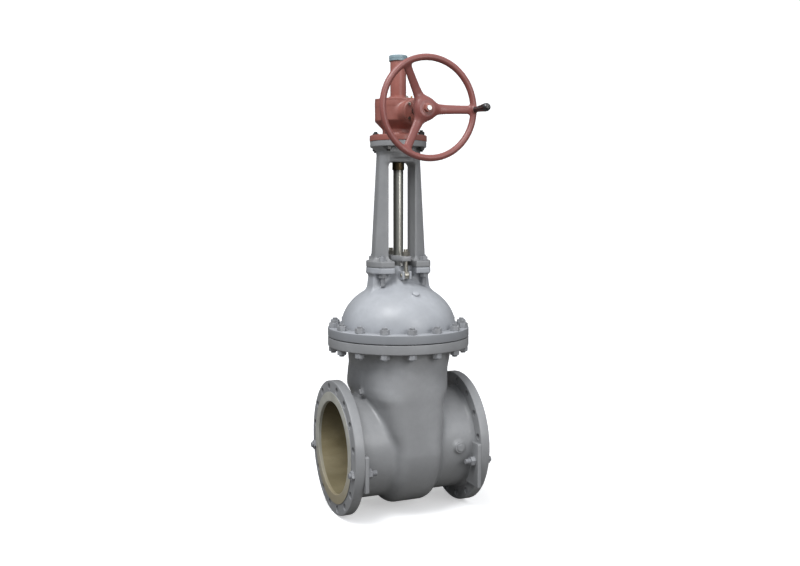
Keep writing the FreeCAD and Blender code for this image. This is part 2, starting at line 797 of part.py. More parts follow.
def yoke_fasteners():
    copies("yoke_studs", rod(YOKE_STUD, 698, 832), YOKE_SPOTS)
    for label, low in (
        ("yoke_nuts_top", size.foot_top), ("yoke_nuts_bottom", size.ear_low - YOKE_NUT),
    ):
        copies(label, hex_nut(YOKE_FLATS, YOKE_STUD, low, low + YOKE_NUT), YOKE_SPOTS)


# ---------------------------------------------------------------- stem nut and its bearings
COLLAR_LOW, COLLAR_TOP = 1306, 1316
BEARING_LOW, BEARING_TOP = 1296, 1326
NUT_TOP, NUT_THREAD_TOP = 1487, 1262
WHEEL_KEY = [(30, -5), (38, -5), (38, 5), (30, 5)]
WHEEL_KEY_LOW = 1458.0


def stem_nut():
    outer = size.sleeve_radius
    body = turned_piece("stem_nut", [
        (STEM_BORE, 1198), (25, 1198), (26, 1199), (26, 1231), (outer - 1, 1231),
        (outer, 1232), (outer, COLLAR_LOW), (49, COLLAR_LOW), (49, COLLAR_TOP),
        (outer, COLLAR_TOP), (outer, NUT_TOP), (27, NUT_TOP), (27, NUT_THREAD_TOP),
        (STEM_BORE, NUT_THREAD_TOP)])
    doc.recompute()
    pocket_up(body, polygon(body, "XY_Plane", WHEEL_KEY, WHEEL_KEY_LOW), 26.0)


def thrust_bearings():
    sleeve("lower_thrust_bearing", 35.5, 50, BEARING_LOW, COLLAR_LOW - size.running)
    sleeve("upper_thrust_bearing", 35.5, 50, COLLAR_TOP + size.running, BEARING_TOP)


# ---------------------------------------------------------------- bevel pair
MODULE = float(size.gear_module)
PINION_TEETH, WHEEL_TEETH = int(size.pinion_teeth), int(size.wheel_teeth)
FACE_WIDTH = 22.0
TOOTH_SLACK = 0.5                 # taken off the tooth thickness
PRESSURE = math.radians(20)
FLANK_LEVELS = (-1.32, -1.0, -0.55, 0.0, 0.42, 0.8)   # from the pitch cone, in modules
SHAFT_KEY_LOW, SHAFT_KEY_LENGTH = 262.0, 36.0


def involute(angle):
    return math.tan(angle) - angle


def pitch_cone(teeth, mate):
    """Half angle of the pitch cone and its slant length."""
    delta = math.atan2(teeth, mate)
    return delta, MODULE * teeth / 2.0 / math.sin(delta)


def cone_point(delta, cone, level):
    """Radius and z at the heel, level above the pitch cone along the back cone."""
    return (cone * math.sin(delta) + level * math.cos(delta),
            cone * math.cos(delta) - level * math.sin(delta))


def bevel_tooth(teeth, mate):
    """One straight bevel tooth about local Z, its flanks running to the apex at the origin."""
    delta, cone = pitch_cone(teeth, mate)
    virtual = MODULE * teeth / 2.0 / math.cos(delta)
    base = virtual * math.cos(PRESSURE)
    half_angle = (math.pi * MODULE / 2 - TOOTH_SLACK) / 2 / virtual
    profile = []    # level, half thickness
    for level in [part * MODULE for part in FLANK_LEVELS]:
        rho = virtual + level
        turn = involute(math.acos(base / rho)) if rho > base else 0.0
        profile.append((level, rho * (half_angle + involute(PRESSURE) - turn)))
    ends = []
    for scale in (1.0, (cone - FACE_WIDTH) / cone):
        left, right = [], []
        for level, half_width in profile:
            radius, z = [part * scale for part in cone_point(delta, cone, level)]
            angle = half_width * scale / radius
            x, y = radius * math.cos(angle), radius * math.sin(angle)
            left.append(Vector(x, y, z))
            right.append(Vector(x, -y, z))
        ends.append(right + left[::-1])

    heel, toe = ends
    count = len(heel)
    faces = []
    for i in range(count):
        j = (i + 1) % count
        faces.append(flat_face([heel[i], heel[j], toe[j]]))
        faces.append(flat_face([heel[i], toe[j], toe[i]]))
    for end in ends:
        for i in range(count // 2 - 1):
            across, back = end[count - 2 - i], end[count - 1 - i]
            faces.append(flat_face([end[i], end[i + 1], across]))
            faces.append(flat_face([end[i], across, back]))
    solid = Part.makeSolid(Part.makeShell(faces))
    if solid.Volume < 0:
        solid.reverse()
    return solid


def root_ends(teeth, mate):
    """Heel and toe of the blank's cone, as (radius, z)."""
    delta, cone = pitch_cone(teeth, mate)
    heel = cone_point(delta, cone, -1.1 * MODULE)
    scale = (cone - FACE_WIDTH) / cone
    return heel, (heel[0] * scale, heel[1] * scale)


def bevel_gear(teeth, mate, blank, phase):
    tooth = bevel_tooth(teeth, mate)
    return fused([spun(blank)] + [rotated(tooth, phase + 360.0 * k / teeth)
                                  for k in range(teeth)])


def bevel_wheel():
    heel, toe = root_ends(WHEEL_TEETH, PINION_TEETH)
    bore = size.sleeve_radius
    blank = [(bore, toe[1]), toe, heel, (heel[0] + 1.2, heel[1] + 3.6), (heel[0], 42),
             (50, 46), (bore, 46)]
    # turned half a tooth so that a gap meets the pinion
    gear = bevel_gear(WHEEL_TEETH, PINION_TEETH, blank, 90.0 + 180.0 / WHEEL_TEETH)
    gear = gear.cut(box(30, 38, -5, 5, -50, 90))
    add_solid("bevel_wheel", one(gear), Placement(Vector(0, 0, size.axis_height), Rotation()))


def pinion_shaft():
    heel, toe = root_ends(PINION_TEETH, WHEEL_TEETH)
    radius = size.shaft_radius
    blank = [(0, toe[1]), toe, heel, (heel[0] - 1.5, heel[1] + 4.5), (18, heel[1] + 6),
             (18, 90), (radius, 90), (radius, 256), (14, 256), (14, 304), (10, 304),
             (10, 327), (9, 328), (0, 328)]
    pinion = bevel_gear(PINION_TEETH, WHEEL_TEETH, blank, 0.0)
    key_top = SHAFT_KEY_LOW + SHAFT_KEY_LENGTH
    pinion = pinion.cut(box(-4, 4, 10.0, 18, SHAFT_KEY_LOW, key_top))
    add_solid("pinion_shaft", one(pinion), TO_FRONT)


def bevel_wheel_key():
    body = new_body("bevel_wheel_key")
    pad(body, polygon(body, "XY_Plane", WHEEL_KEY, WHEEL_KEY_LOW), 19.0)


# ---------------------------------------------------------------- gearbox
NIPPLE_ANGLE = math.radians(-50)
NIPPLE_X, NIPPLE_Y = 64.0 * math.cos(NIPPLE_ANGLE), 64.0 * math.sin(NIPPLE_ANGLE)
BUSH_STEP = 39        # cover bore, also the upper outside of the cover bush
HOUSING_BORE = 31
CAP_FACE = 175        # front face of the housing boss, from the stem axis
CAP_BORE = 25


def gearbox_housing():
    flange_top, low, high = size.box_flange_top, size.box_low, size.box_high
    body = new_body("gearbox_drum", exported=False)
    revolve(body, [
        (52, size.yoke_top), (124, size.yoke_top), (124, flange_top), (74, flange_top),
        (68, flange_top + 8), (68, 1370), (74, 1378), (96, 1400), (size.drum_radius, low),
        (size.drum_radius, high), (90, high), (90, 1408), (60, 1390), (36, 1378),
        (36, BEARING_TOP), (52, BEARING_TOP)])
    doc.recompute()
    drum = body.Shape.copy()
    height = size.axis_height
    axis = Vector(0, 0, height)
    boss = fused([
        Part.makeCone(52, 45, 24, Vector(0, -74, height), -Y),
        rod(45, 80, CAP_FACE, axis, -Y),
        rod(52, 160, CAP_FACE, axis, -Y)])
    boss = boss.cut(rod(90, 1400, 1600))
    boss = boss.cut(rod(150, 1488, 1600))
    cutters = [rod(HOUSING_BORE, 70, 180, axis, -Y)]
    cutters += holes(GEARBOX_CLEAR, 1310, 1350, GEARBOX_SPOTS)
    cutters += holes(SCREW, 1472, 1490, COVER_SPOTS)
    cutters += [rod(SCREW, 158, 180, Vector(x, 0, height + y), -Y) for x, y in CAP_SPOTS]
    add_solid("gearbox_housing", cut_away(fused([drum, boss]), cutters))


def gearbox_cover():
    low, top, radius = size.box_high, size.cover_top, size.drum_radius
    body = turned_piece("gearbox_cover", [
        (BUSH_STEP, low), (radius, low), (radius, top - 2), (radius - 2, top), (46, top),
        (40, top + 6), (40, top + 14), (size.tube_radius, top + 14), (size.tube_radius, top),
        (BUSH_STEP, top)])
    doc.recompute()
    rounds = [(x, y, SCREW_CLEAR) for x, y in COVER_SPOTS] + [(NIPPLE_X, NIPPLE_Y, 4.0)]
    pocket_up(body, circles(body, "XY_Plane", rounds, 1480.0))


def cover_parts():
    bore, step, top = size.sleeve_radius + size.running, size.box_high, size.cover_top
    turned_piece("cover_bush", [
        (bore, 1479), (44, 1479), (44, step), (BUSH_STEP, step), (BUSH_STEP, top),
        (bore, top)])
    copies("cover_screws", cap_screw(5.6, 1473, top, 1505), COVER_SPOTS)
    turned_piece("grease_nipple", [
        (0, 1489), (4, 1489), (4, 1498), (6, 1498), (6, 1503), (3.4, 1505), (3.4, 1508),
        (4.2, 1510), (2.5, 1513), (0, 1513),
    ], Placement(Vector(NIPPLE_X, NIPPLE_Y, 0), Rotation()))


def stem_cover():
    tube, tube_top = size.tube_radius, size.tube_top
    cap, low, top = size.cap_radius, size.cap_low, size.cap_top
    sleeve("stem_cover_tube", 27.7, tube, size.cover_top + 1, tube_top)
    turned_piece("tube_cap", [
        (0, tube_top), (tube, tube_top), (tube, low), (cap, low), (cap, top - 3),
        (cap - 3, top), (0, top)])


def gearbox_fasteners():
    copies("gearbox_studs", rod(GEARBOX_STUD, 1274, 1366), GEARBOX_SPOTS)
    for label, low in (
        ("gearbox_nuts_top", size.box_flange_top),
        ("gearbox_nuts_bottom", size.bar_top - GEARBOX_NUT),
    ):
        nut = hex_nut(GEARBOX_FLATS, GEARBOX_STUD, low, low + GEARBOX_NUT)
        copies(label, nut, GEARBOX_SPOTS)


def input_bearings():
    for label, low in (("rear_input_bearing", 92.0), ("front_input_bearing", 150.0)):
        sleeve(label, SHAFT_BORE, HOUSING_BORE, low, low + 16, TO_FRONT)
    sleeve("bearing_spacer", CAP_BORE, 30.9, 108, 150, TO_FRONT)


def bearing_cap():
    body = turned_piece("bearing_cap", [
        (CAP_BORE, 166), (30.9, 166), (30.9, CAP_FACE), (52, CAP_FACE), (52, 184), (49, 187),
        (17, 187), (17, 180), (CAP_BORE, 180)], TO_FRONT)
    doc.recompute()
    rounds = [(x, y, SCREW_CLEAR) for x, y in CAP_SPOTS]
    pocket_up(body, circles(body, "XY_Plane", rounds, 170.0))
    sleeve("input_seal", SHAFT_BORE, CAP_BORE, 168, 180, TO_FRONT)
    copies("bearing_cap_screws", cap_screw(6.0, 160, 187, 193), CAP_SPOTS, TO_FRONT)


# ---------------------------------------------------------------- handwheel
GRIP_X = size.grip_radius - 6
GRIP_FRAME = TO_FRONT.multiply(Placement(Vector(GRIP_X, 0, 0), Rotation()))
GRIP_BOLT = 6
HUB_BORE, HUB_FRONT = 14, 304
WASHER_FRONT = HUB_FRONT + 3.5
HUB_OUTLINE = [     # radius, z
    (HUB_BORE, 257), (33, 257), (42, 262), (48, 272), (48, 290), (42, 299),
    (34, HUB_FRONT), (HUB_BORE, HUB_FRONT),
]
SPOKE_SECTIONS = [  # radius from the wheel axis, z, half width, half thickness
    (38, 281, 23, 12), (90, 290, 18.5, 10), (150, 306, 17, 9.5),
    (size.rim_radius, size.rim_reach, 17, 8.5),
]
GRIP_OUTLINE = [    # radius, z
    (GRIP_BOLT + size.running, 335.1), (10, 335.1), (12, 338), (11, 352), (13.5, 385),
    (16.5, 418), (16.5, 430), (14, 437), (11, 440.9), (GRIP_BOLT + size.running, 440.9),
]


def handwheel():
    rim = Part.makeTorus(size.rim_radius, size.rim_tube, Vector(0, 0, size.rim_reach))
    angles = [2 * math.pi * i / 16 for i in range(16)]
    sections = []
    for x, z, width, thick in SPOKE_SECTIONS:
        sections.append(closed_curve(
            [Vector(x, width * math.cos(a), z + thick * math.sin(a)) for a in angles]))
    spoke = Part.makeLoft(sections, True, False)
    grip_at = Vector(GRIP_X, 0, 0)
    wheel = fused([rim, spun(HUB_OUTLINE), rod(13, 303, 335, grip_at)]
                  + [rotated(spoke, 120.0 * k) for k in range(3)])
    cutters = [rod(HUB_BORE, 250, 320), rod(GRIP_BOLT, 290, 345, grip_at),
               box(-4, 4, 10, 18, 240, 320)]
    add_solid("handwheel", cut_away(wheel, cutters), TO_FRONT)


def handwheel_fasteners():
    body = new_body("handwheel_key", TO_FRONT)
    outline = [(-4, 10), (4, 10), (4, 18), (-4, 18)]
    pad(body, polygon(body, "XY_Plane", outline, SHAFT_KEY_LOW), SHAFT_KEY_LENGTH)
    sleeve("handwheel_washer", 10.2, 22, HUB_FRONT, WASHER_FRONT, TO_FRONT)
    add_solid("handwheel_nut", hex_nut(30, 10, WASHER_FRONT, 323), TO_FRONT)


def crank():
    turned_piece("grip_bolt", [
        (0, 292), (GRIP_BOLT, 292), (GRIP_BOLT, 441), (10, 441), (10, 444), (8, 447),
        (0, 447)], GRIP_FRAME)
    add_solid("grip_nut", hex_nut(19, GRIP_BOLT, 294, 303), GRIP_FRAME)
    turned_piece("crank_grip", GRIP_OUTLINE, GRIP_FRAME)


# ---------------------------------------------------------------- flange brackets
BRACKET_THICK = 16
# the brackets hang on the flange holes next below the flow axis
BRACKET_Y = size.flange_pcr * math.cos(math.radians(HALF_PITCH))
BRACKET_Z = -(size.flange_pcr * math.sin(math.radians(HALF_PITCH)))


def flange_brackets():
    back = size.flange_back
    plates = []
    for side, foot in ((-1, -125), (1, -165)):
        for end in SIDES:
            plate = box(side * back, side * (back - BRACKET_THICK),
                        end * size.flange_radius, end * 120.0, foot, 27)
            plate = plate.cut(rod(size.stub_radius + 14, -300, 300, along=X))
            at = Vector(0, end * BRACKET_Y, BRACKET_Z)
            plates.append(one(plate.cut(rod(BIG_CLEAR, -300, 300, at, X))))
    add_solid("flange_brackets", Part.makeCompound(plates))


def bracket_fasteners():
    near, far = 204.0, 326.0
    body = new_body("bracket_studs")
    spots = [(BRACKET_Y, BRACKET_Z, BIG_STUD), (-BRACKET_Y, BRACKET_Z, BIG_STUD)]
    for start in (near, -far):
        pad(body, circles(body, "YZ_Plane", spots, start), far - near)
        doc.recompute()
    nut = hex_nut(BIG_FLATS, BIG_STUD, 0, BIG_NUT, 15)
    # nut seat from the stem axis, and 1 where the nut points away from it
    seats = ((size.face_half - size.raised_height, 1), (size.flange_back - BRACKET_THICK, -1))
    nuts = []
    for side in SIDES:
        for end in SIDES:
            for seat, way in seats:
                at = Vector(side * seat, end * BRACKET_Y, BRACKET_Z)
                nuts.append(moved(nut.copy(), Placement(at, Rotation(Y, 90 * side * way))))
    add_solid("bracket_nuts", Part.makeCompound(nuts))


# ---------------------------------------------------------------- plugs in the bosses
def boss_plugs():
    plug = fused([rod(10, -16, 0), hex_nut(27, 0, 0, 6)])
    plugs = []
    for side in SIDES:
        at = Vector(side * STUB_BOSS_X, -side * STUB_BOSS_END, STUB_BOSS_Z)
        plugs.append(moved(plug.copy(), Placement(at, Rotation(X, 90 * side))))
    add_solid("stub_plugs", Part.makeCompound(plugs))
    add_solid("neck_plug", fused([rod(9, -15, 0), hex_nut(22, 0, 0, 9)]),
              Placement(NECK_BOSS_AT - X * NECK_BOSS_END, Rotation(Y, -90)))


# ---------------------------------------------------------------- build, check and write
for build in (
    valve_body, seat_rings, wedge, wedge_rings, stem,
    bonnet_gasket, bonnet, bonnet_fasteners, dome_plug, backseat_bush,
    packing, gland_follower, gland_flange, gland_bolts,
    yoke, yoke_fasteners, stem_nut, thrust_bearings,
    bevel_wheel, pinion_shaft, bevel_wheel_key,
    gearbox_housing, gearbox_cover, cover_parts, stem_cover, gearbox_fasteners,
    input_bearings, bearing_cap, handwheel, handwheel_fasteners, crank,
    flange_brackets, bracket_fasteners, boss_plugs,
):
    build()

doc.recompute()
bad = []
for item in doc.Objects:
    if any(word in ("Invalid", "Error") for word in item.State):
        bad.append("%s: %s" % (item.Label, item.State))
for piece in pieces:
    if piece.Shape.isNull() or not piece.Shape.isValid():
        bad.append("%s: shape is null or not valid" % piece.Label)
    elif piece.Shape.Volume < 1.0:
        bad.append("%s: no volume" % piece.Label)
if bad:
    raise SystemExit("not written:\n" + "\n".join(bad))
os.makedirs("parts", exist_ok=True)
for piece in pieces:
    piece.Shape.exportStep("parts/%s.step" % piece.Label)
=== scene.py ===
"""Wedge gate valve with a bonnet, a yoke, a bevel gearbox and a cranked handwheel.

The bore runs along X and the stem stands along Z through the origin.  The
handwheel faces -Y.  Shapes are given in millimetres and become metres in
new_mesh; lights, camera and materials are in metres.
"""
import json
import math

import bmesh
import bpy
import numpy as np
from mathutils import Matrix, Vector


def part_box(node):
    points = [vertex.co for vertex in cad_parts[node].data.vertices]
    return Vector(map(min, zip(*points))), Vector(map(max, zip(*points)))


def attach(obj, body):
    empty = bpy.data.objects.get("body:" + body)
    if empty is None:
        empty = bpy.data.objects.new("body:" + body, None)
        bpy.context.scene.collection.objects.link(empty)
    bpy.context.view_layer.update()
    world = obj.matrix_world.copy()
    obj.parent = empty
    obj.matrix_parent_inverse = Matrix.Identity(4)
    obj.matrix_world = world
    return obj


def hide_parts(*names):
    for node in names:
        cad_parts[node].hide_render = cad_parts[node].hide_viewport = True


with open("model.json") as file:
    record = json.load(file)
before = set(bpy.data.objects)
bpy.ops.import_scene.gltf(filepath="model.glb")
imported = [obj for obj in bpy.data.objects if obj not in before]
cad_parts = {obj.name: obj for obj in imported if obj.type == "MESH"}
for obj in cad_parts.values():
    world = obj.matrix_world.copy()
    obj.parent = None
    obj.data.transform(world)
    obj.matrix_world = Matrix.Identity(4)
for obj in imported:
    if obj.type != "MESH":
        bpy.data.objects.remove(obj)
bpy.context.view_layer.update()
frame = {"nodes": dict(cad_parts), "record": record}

import openvdb
from mathutils import Vector

MM = 0.001


# ---------------------------------------------------------------- places read from the frame
def box_mm(node):
    low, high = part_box(node)
    return [v * 1000 for v in low], [v * 1000 for v in high]


BODY_LOW, BODY_HIGH = box_mm("valve_body")
BONNET_LOW, _ = box_mm("bonnet")
STEM_LOW, STEM_HIGH = box_mm("stem")
PLUG_LOW, PLUG_HIGH = box_mm("neck_plug")
TUBE_RADIUS = box_mm("stem_cover_tube")[1][0]
CAP_RADIUS = box_mm("tube_cap")[1][0]

# ---------------------------------------------------------------- shared sizes
UP = (0, 0, 1)
FRONT = (0, -1, 0)
LEFT = (-1, 0, 0)

FLANGE_FACE = BODY_HIGH[0]      # raised face of the end flanges
FLANGE_BACK = 264.0
FLANGE_CIRCLE = (262.5, 16, 11.25)   # radius, count, first angle in degrees
BORE_RADIUS = 200
STUB_X, STUB_Y, STUB_Z = 190, 238, 6     # side bosses, at +X -Y and at -X +Y
NECK_PLUG = (PLUG_LOW[0] + 3.0, (PLUG_LOW[1] + PLUG_HIGH[1]) / 2, (PLUG_LOW[2] + PLUG_HIGH[2]) / 2)

# the round joint between body and bonnet
JOINT_RADIUS = 310
JOINT_CIRCLE = (288.0, 16, 11.25)
BODY_TOP_LOW, BODY_TOP = 434.0, 474.0
BONNET_BOTTOM, BONNET_FLANGE_TOP = 478.0, 516.0
JOINT_HOLE = 13

NECK_TOP = 783.0
DOME_PLUG, DOME_PLUG_AXIS = (12, -160, 667), (0.04, -0.536, 0.843)
GLAND_BOLT_Y, GLAND_HINGE_Z = 85, 745

# four studs hold the yoke ears, four more hold the gearbox
EAR_X, EAR_Y, EAR_BOTTOM, EAR_TOP, EAR_HOLE = 97, 58, 752, 806, 10.6
DRIVE_XY, DRIVE_HOLE = 75.66, 8.5
YOKE_FLANGE_BOTTOM, YOKE_TOP, GEARBOX_FLANGE_TOP = 1295, 1320, 1345
CORNERS = ((-1, -1), (-1, 1), (1, -1), (1, 1))

GEARBOX_TOP = 1488
LID_CIRCLE = (95.5, 6, 30)
INPUT_Z = 1432.0                # height of the handwheel axis
INPUT_ORIGIN = (0, 0, INPUT_Z)
CRANK_X = 200
CRANK_ORIGIN = (CRANK_X, 0, INPUT_Z)
PLATE_STUD_Y, PLATE_STUD_Z = 257.46, -51.21


# ---------------------------------------------------------------- mesh helpers
def shade(obj, smooth=True, sharp=None):
    """Smooth shading, with edges steeper than sharp degrees kept crisp."""
    mesh = obj.data
    mesh.polygons.foreach_set("use_smooth", [smooth] * len(mesh.polygons))
    if sharp is not None:
        mesh.set_sharp_from_angle(angle=math.radians(sharp))
    mesh.update()


def new_object(name, mesh):
    obj = bpy.data.objects.new(name, mesh)
    bpy.context.scene.collection.objects.link(obj)
    return obj


def new_mesh(name, verts, faces, smooth=True):
    """Object from vertices in millimetres."""
    mesh = bpy.data.meshes.new(name)
    points = [tuple(v) for v in (np.asarray(verts, float) * MM)]
    mesh.from_pydata(points, [], [tuple(int(i) for i in face) for face in faces])
    mesh.update()
    obj = new_object(name, mesh)
    shade(obj, smooth)
    return obj


def face_outward(obj, weld=True):
    bm = bmesh.new()
    bm.from_mesh(obj.data)
    if weld:
        bmesh.ops.remove_doubles(bm, verts=bm.verts, dist=1e-6)
    bmesh.ops.recalc_face_normals(bm, faces=bm.faces)
    bm.to_mesh(obj.data)
    bm.free()
    obj.data.update()


def drop(obj):
    mesh = obj.data
    bpy.data.objects.remove(obj)
    bpy.data.meshes.remove(mesh)


def evaluated_mesh(obj):
    bpy.context.view_layer.update()
    graph = bpy.context.evaluated_depsgraph_get()
    return bpy.data.meshes.new_from_object(obj.evaluated_get(graph))


def boolean(obj, tool, operation):
    """Combine two closed meshes at once and drop the tool."""
    modifier = obj.modifiers.new("b", "BOOLEAN")
    modifier.operation = operation
    modifier.solver = "MANIFOLD"
    modifier.object = tool
    mesh = evaluated_mesh(obj)
    # the manifold solver gives an empty mesh if an input is not watertight
    if len(mesh.polygons) < 4:
        modifier.solver = "EXACT"
        mesh = evaluated_mesh(obj)
    obj.modifiers.clear()
    old = obj.data
    obj.data = mesh
    mesh.name = obj.name
    bpy.data.meshes.remove(old)
    drop(tool)
    return obj


def joined(parts, name):
    bm = bmesh.new()
    for part in parts:
        bm.from_mesh(part.data)
    mesh = bpy.data.meshes.new(name)
    bm.to_mesh(mesh)
    bm.free()
    for part in parts:
        drop(part)
    return new_object(name, mesh)


def add(obj, tool):
    return boolean(obj, tool, "UNION")


def cut(obj, *tools):
    """Subtract the tools together, in one step."""
    tool = tools[0] if len(tools) == 1 else joined(tools, "cuts")
    return boolean(obj, tool, "DIFFERENCE")


def rounded(profile, arc=5):
    """Closed profile of (r, z) or (r, z, fillet) with its corners rounded in arc steps."""
    points = [(p[0], p[1], p[2] if len(p) > 2 else 0.0) for p in profile]
    out = []
    count = len(points)
    for i in range(count):
        corner = np.array(points[i][:2], float)
        fillet = points[i][2]
        before = np.array(points[i - 1][:2], float) - corner
        after = np.array(points[(i + 1) % count][:2], float) - corner
        len_before, len_after = np.linalg.norm(before), np.linalg.norm(after)
        if fillet <= 0 or len_before < 1e-6 or len_after < 1e-6:
            out.append(tuple(corner))
            continue
        before, after = before / len_before, after / len_after
        angle = math.acos(max(-1, min(1, float(before @ after))))
        if angle > math.pi - 0.02:
            out.append(tuple(corner))
            continue
        # a fillet takes at most about half of either side
        setback = min(fillet / math.tan(angle / 2), len_before * 0.49, len_after * 0.49)
        radius = setback * math.tan(angle / 2)
        bisector = (before + after) / np.linalg.norm(before + after)
        center = corner + bisector * (radius / math.sin(angle / 2))
        start = corner + before * setback - center
        end = corner + after * setback - center
        first, last = math.atan2(start[1], start[0]), math.atan2(end[1], end[0])
        sweep = (last - first + math.pi) % (2 * math.pi) - math.pi
        for k in range(arc + 1):
            turn = first + sweep * k / arc
            out.append((center[0] + radius * math.cos(turn), center[1] + radius * math.sin(turn)))
    return out


def place(verts, origin, axis):
    """Local points (local Z along axis) moved to origin."""
    rotation = Vector(UP).rotation_difference(Vector(axis).normalized())
    matrix = np.array(rotation.to_matrix())
    return np.asarray(verts, float) @ matrix.T + np.asarray(origin, float)


def lathe(name, profile, origin=(0, 0, 0), axis=UP, segs=96, sharp=32):
    """Closed (r, z, fillet) profile turned about the axis."""
    points = rounded(profile)
    verts, faces, rings = [], [], []
    for r, z in points:
        if r < 1e-6:
            rings.append([len(verts)])
            verts.append((0, 0, z))
        else:
            rings.append(list(range(len(verts), len(verts) + segs)))
            for k in range(segs):
                t = 2 * math.pi * k / segs
                verts.append((r * math.cos(t), r * math.sin(t), z))
    for i, ring in enumerate(rings):
        after = rings[(i + 1) % len(rings)]
        if len(ring) == 1 and len(after) == 1:
            continue
        for k in range(segs):
            j = (k + 1) % segs
            if len(ring) == 1:
                faces.append((ring[0], after[j], after[k]))
            elif len(after) == 1:
                faces.append((ring[k], ring[j], after[0]))
            else:
                faces.append((ring[k], ring[j], after[j], after[k]))
    obj = new_mesh(name, place(verts, origin, axis), faces)
    face_outward(obj)
    shade(obj, sharp=sharp)
    return obj


def cutter(radius, low, high, origin=(0, 0, 0), axis=UP, segs=48, lips=()):
    """Cylinder for cutting a hole; lips are (z, chamfer) where a face is crossed."""
    profile = [(0, low), (radius, low)]
    for z, chamfer in sorted(lips):
        if z > (low + high) / 2:
            profile += [(radius, z - chamfer), (radius + chamfer + abs(high - z), high)]
        else:
            profile[-1] = (radius + chamfer + abs(z - low), low)
            profile.append((radius, z + chamfer))
    if profile[-1][1] < high - 1e-6:
        profile.append((radius, high))
    profile.append((0, high))
    return lathe("cut", profile, origin, axis, segs)


def bolt_circle(radius, count, start):
    """Places evenly round a circle, from start degrees."""
    for k in range(count):
        angle = math.radians(start + 360.0 / count * k)
        yield radius * math.cos(angle), radius * math.sin(angle)


# ---------------------------------------------------------------- distance fields, negative inside
def field_mesh(name, field, low, high, step):
    """Surface field = 0, sampled on a regular grid."""
    axes = [np.arange(low[i], high[i] + step, step, dtype=np.float32) for i in range(3)]
    x, y, z = np.meshgrid(*axes, indexing="ij", sparse=True)
    dist = np.asarray(field(x, y, z), np.float32)
    dist = np.broadcast_to(dist, tuple(len(a) for a in axes))
    dist = np.clip(dist, -4 * step, 4 * step).astype(np.float32)
    # the outer layer of the grid is empty, so every surface closes
    for side in (0, -1):
        dist[side] = dist[:, side] = dist[:, :, side] = 4 * step
    grid = openvdb.FloatGrid(4.0 * step)
    grid.copyFromArray(np.ascontiguousarray(dist), tolerance=0.0)
    points, quads = grid.convertToQuads(isovalue=0.0)
    points = np.asarray(points, float) * step + np.array([a[0] for a in axes], float)
    obj = new_mesh(name, points, np.asarray(quads))
    face_outward(obj)
    return obj


def blend(a, b, width):
    """Union with a fillet."""
    h = np.maximum(width - np.abs(a - b), 0.0) / width
    return np.minimum(a, b) - h * h * width * 0.25


def meet(a, b, width):
    """Intersection with a softened edge."""
    return -blend(-a, -b, width)


def round_box(dx, dy, dz, radius):
    """Rounded box from per-axis distances."""
    qx, qy, qz = dx + radius, dy + radius, dz + radius
    outside = np.sqrt(np.maximum(qx, 0) ** 2 + np.maximum(qy, 0) ** 2 + np.maximum(qz, 0) ** 2)
    return outside + np.minimum(np.maximum(np.maximum(qx, qy), qz), 0) - radius


def round_edge(a, b, radius):
    """Intersection of two distances with a rounded edge."""
    qa, qb = a + radius, b + radius
    outside = np.sqrt(np.maximum(qa, 0) ** 2 + np.maximum(qb, 0) ** 2)
    return outside + np.minimum(np.maximum(qa, qb), 0) - radius


def polygon_field(px, py, polygon):
    """Signed distance to a closed polygon in the plane."""
    dist = np.full(np.broadcast(px, py).shape, 1e18, np.float32)
    sign = np.ones_like(dist)
    for i, (ax, ay) in enumerate(polygon):
        bx, by = polygon[i - 1]
        ex, ey = bx - ax, by - ay
        wx, wy = px - ax, py - ay
        t = np.clip((wx * ex + wy * ey) / (ex * ex + ey * ey), 0, 1)
        dist = np.minimum(dist, (wx - ex * t) ** 2 + (wy - ey * t) ** 2)
        above, below, left = py >= ay, py < by, ex * wy > ey * wx
        flip = (above & below & left) | (~above & ~below & ~left)
        sign = np.where(flip, -sign, sign)
    return sign * np.sqrt(dist)


def superellipse(x, y, a, b, n):
    u, v = np.abs(x) / a + 1e-6, np.abs(y) / b + 1e-6
    total = u ** n + v ** n
    level = total ** (1.0 / n)
    k = total ** (1.0 / n - 1.0)
    gx, gy = k * u ** (n - 1) / a, k * v ** (n - 1) / b
    return (level - 1.0) / np.sqrt(gx * gx + gy * gy)


def ellipse(r, z, a, b):
    level = np.sqrt((r / a) ** 2 + (z / b) ** 2) + 1e-6
    slope = np.sqrt((r / a ** 2) ** 2 + (z / b ** 2) ** 2) / level
    return (level - 1) / slope


# ---------------------------------------------------------------- nuts, rods and flat parts
# hex_nut and threaded_rod return (vertices, faces) for group to gather
def hex_nut(flats, low, high, hole, origin, axis, turn=0.0, segs=48, both=True):
    """Hexagon with turned chamfers, at both ends or the high one; hole 0 gives a bolt head."""
    face_radius = flats / 2 * 0.955
    chamfer_slope = math.tan(math.radians(30))
    rings = [[], [], [], [], [], []]
    for k in range(segs):
        t = 2 * math.pi * k / segs
        from_flat = (t % (math.pi / 3)) - math.pi / 6
        rim = flats / 2 / math.cos(from_flat)
        chamfer = (rim - face_radius) * chamfer_slope
        stations = ((hole, low), (face_radius, low), (rim, low + (chamfer if both else 0.0)),
                    (rim, high - chamfer), (face_radius, high), (hole, high))
        ct, st = math.cos(t + turn), math.sin(t + turn)
        for ring, (r, z) in zip(rings, stations):
            ring.append((r * ct, r * st, z))
    verts, faces, index = [], [], []
    for i, ring in enumerate(rings):
        if hole <= 0 and i in (0, 5):
            index.append([len(verts)] * segs)
            verts.append((0, 0, ring[0][2]))
        else:
            index.append(list(range(len(verts), len(verts) + segs)))
            verts += ring
    for i in range(5 if hole <= 0 else 6):
        a, b = index[i], index[(i + 1) % 6]
        for k in range(segs):
            j = (k + 1) % segs
            quad = [a[k], a[j], b[j], b[k]]
            face = [v for m, v in enumerate(quad) if v not in quad[:m]]
            if len(face) > 2:
                faces.append(face)
    return place(verts, origin, axis), faces


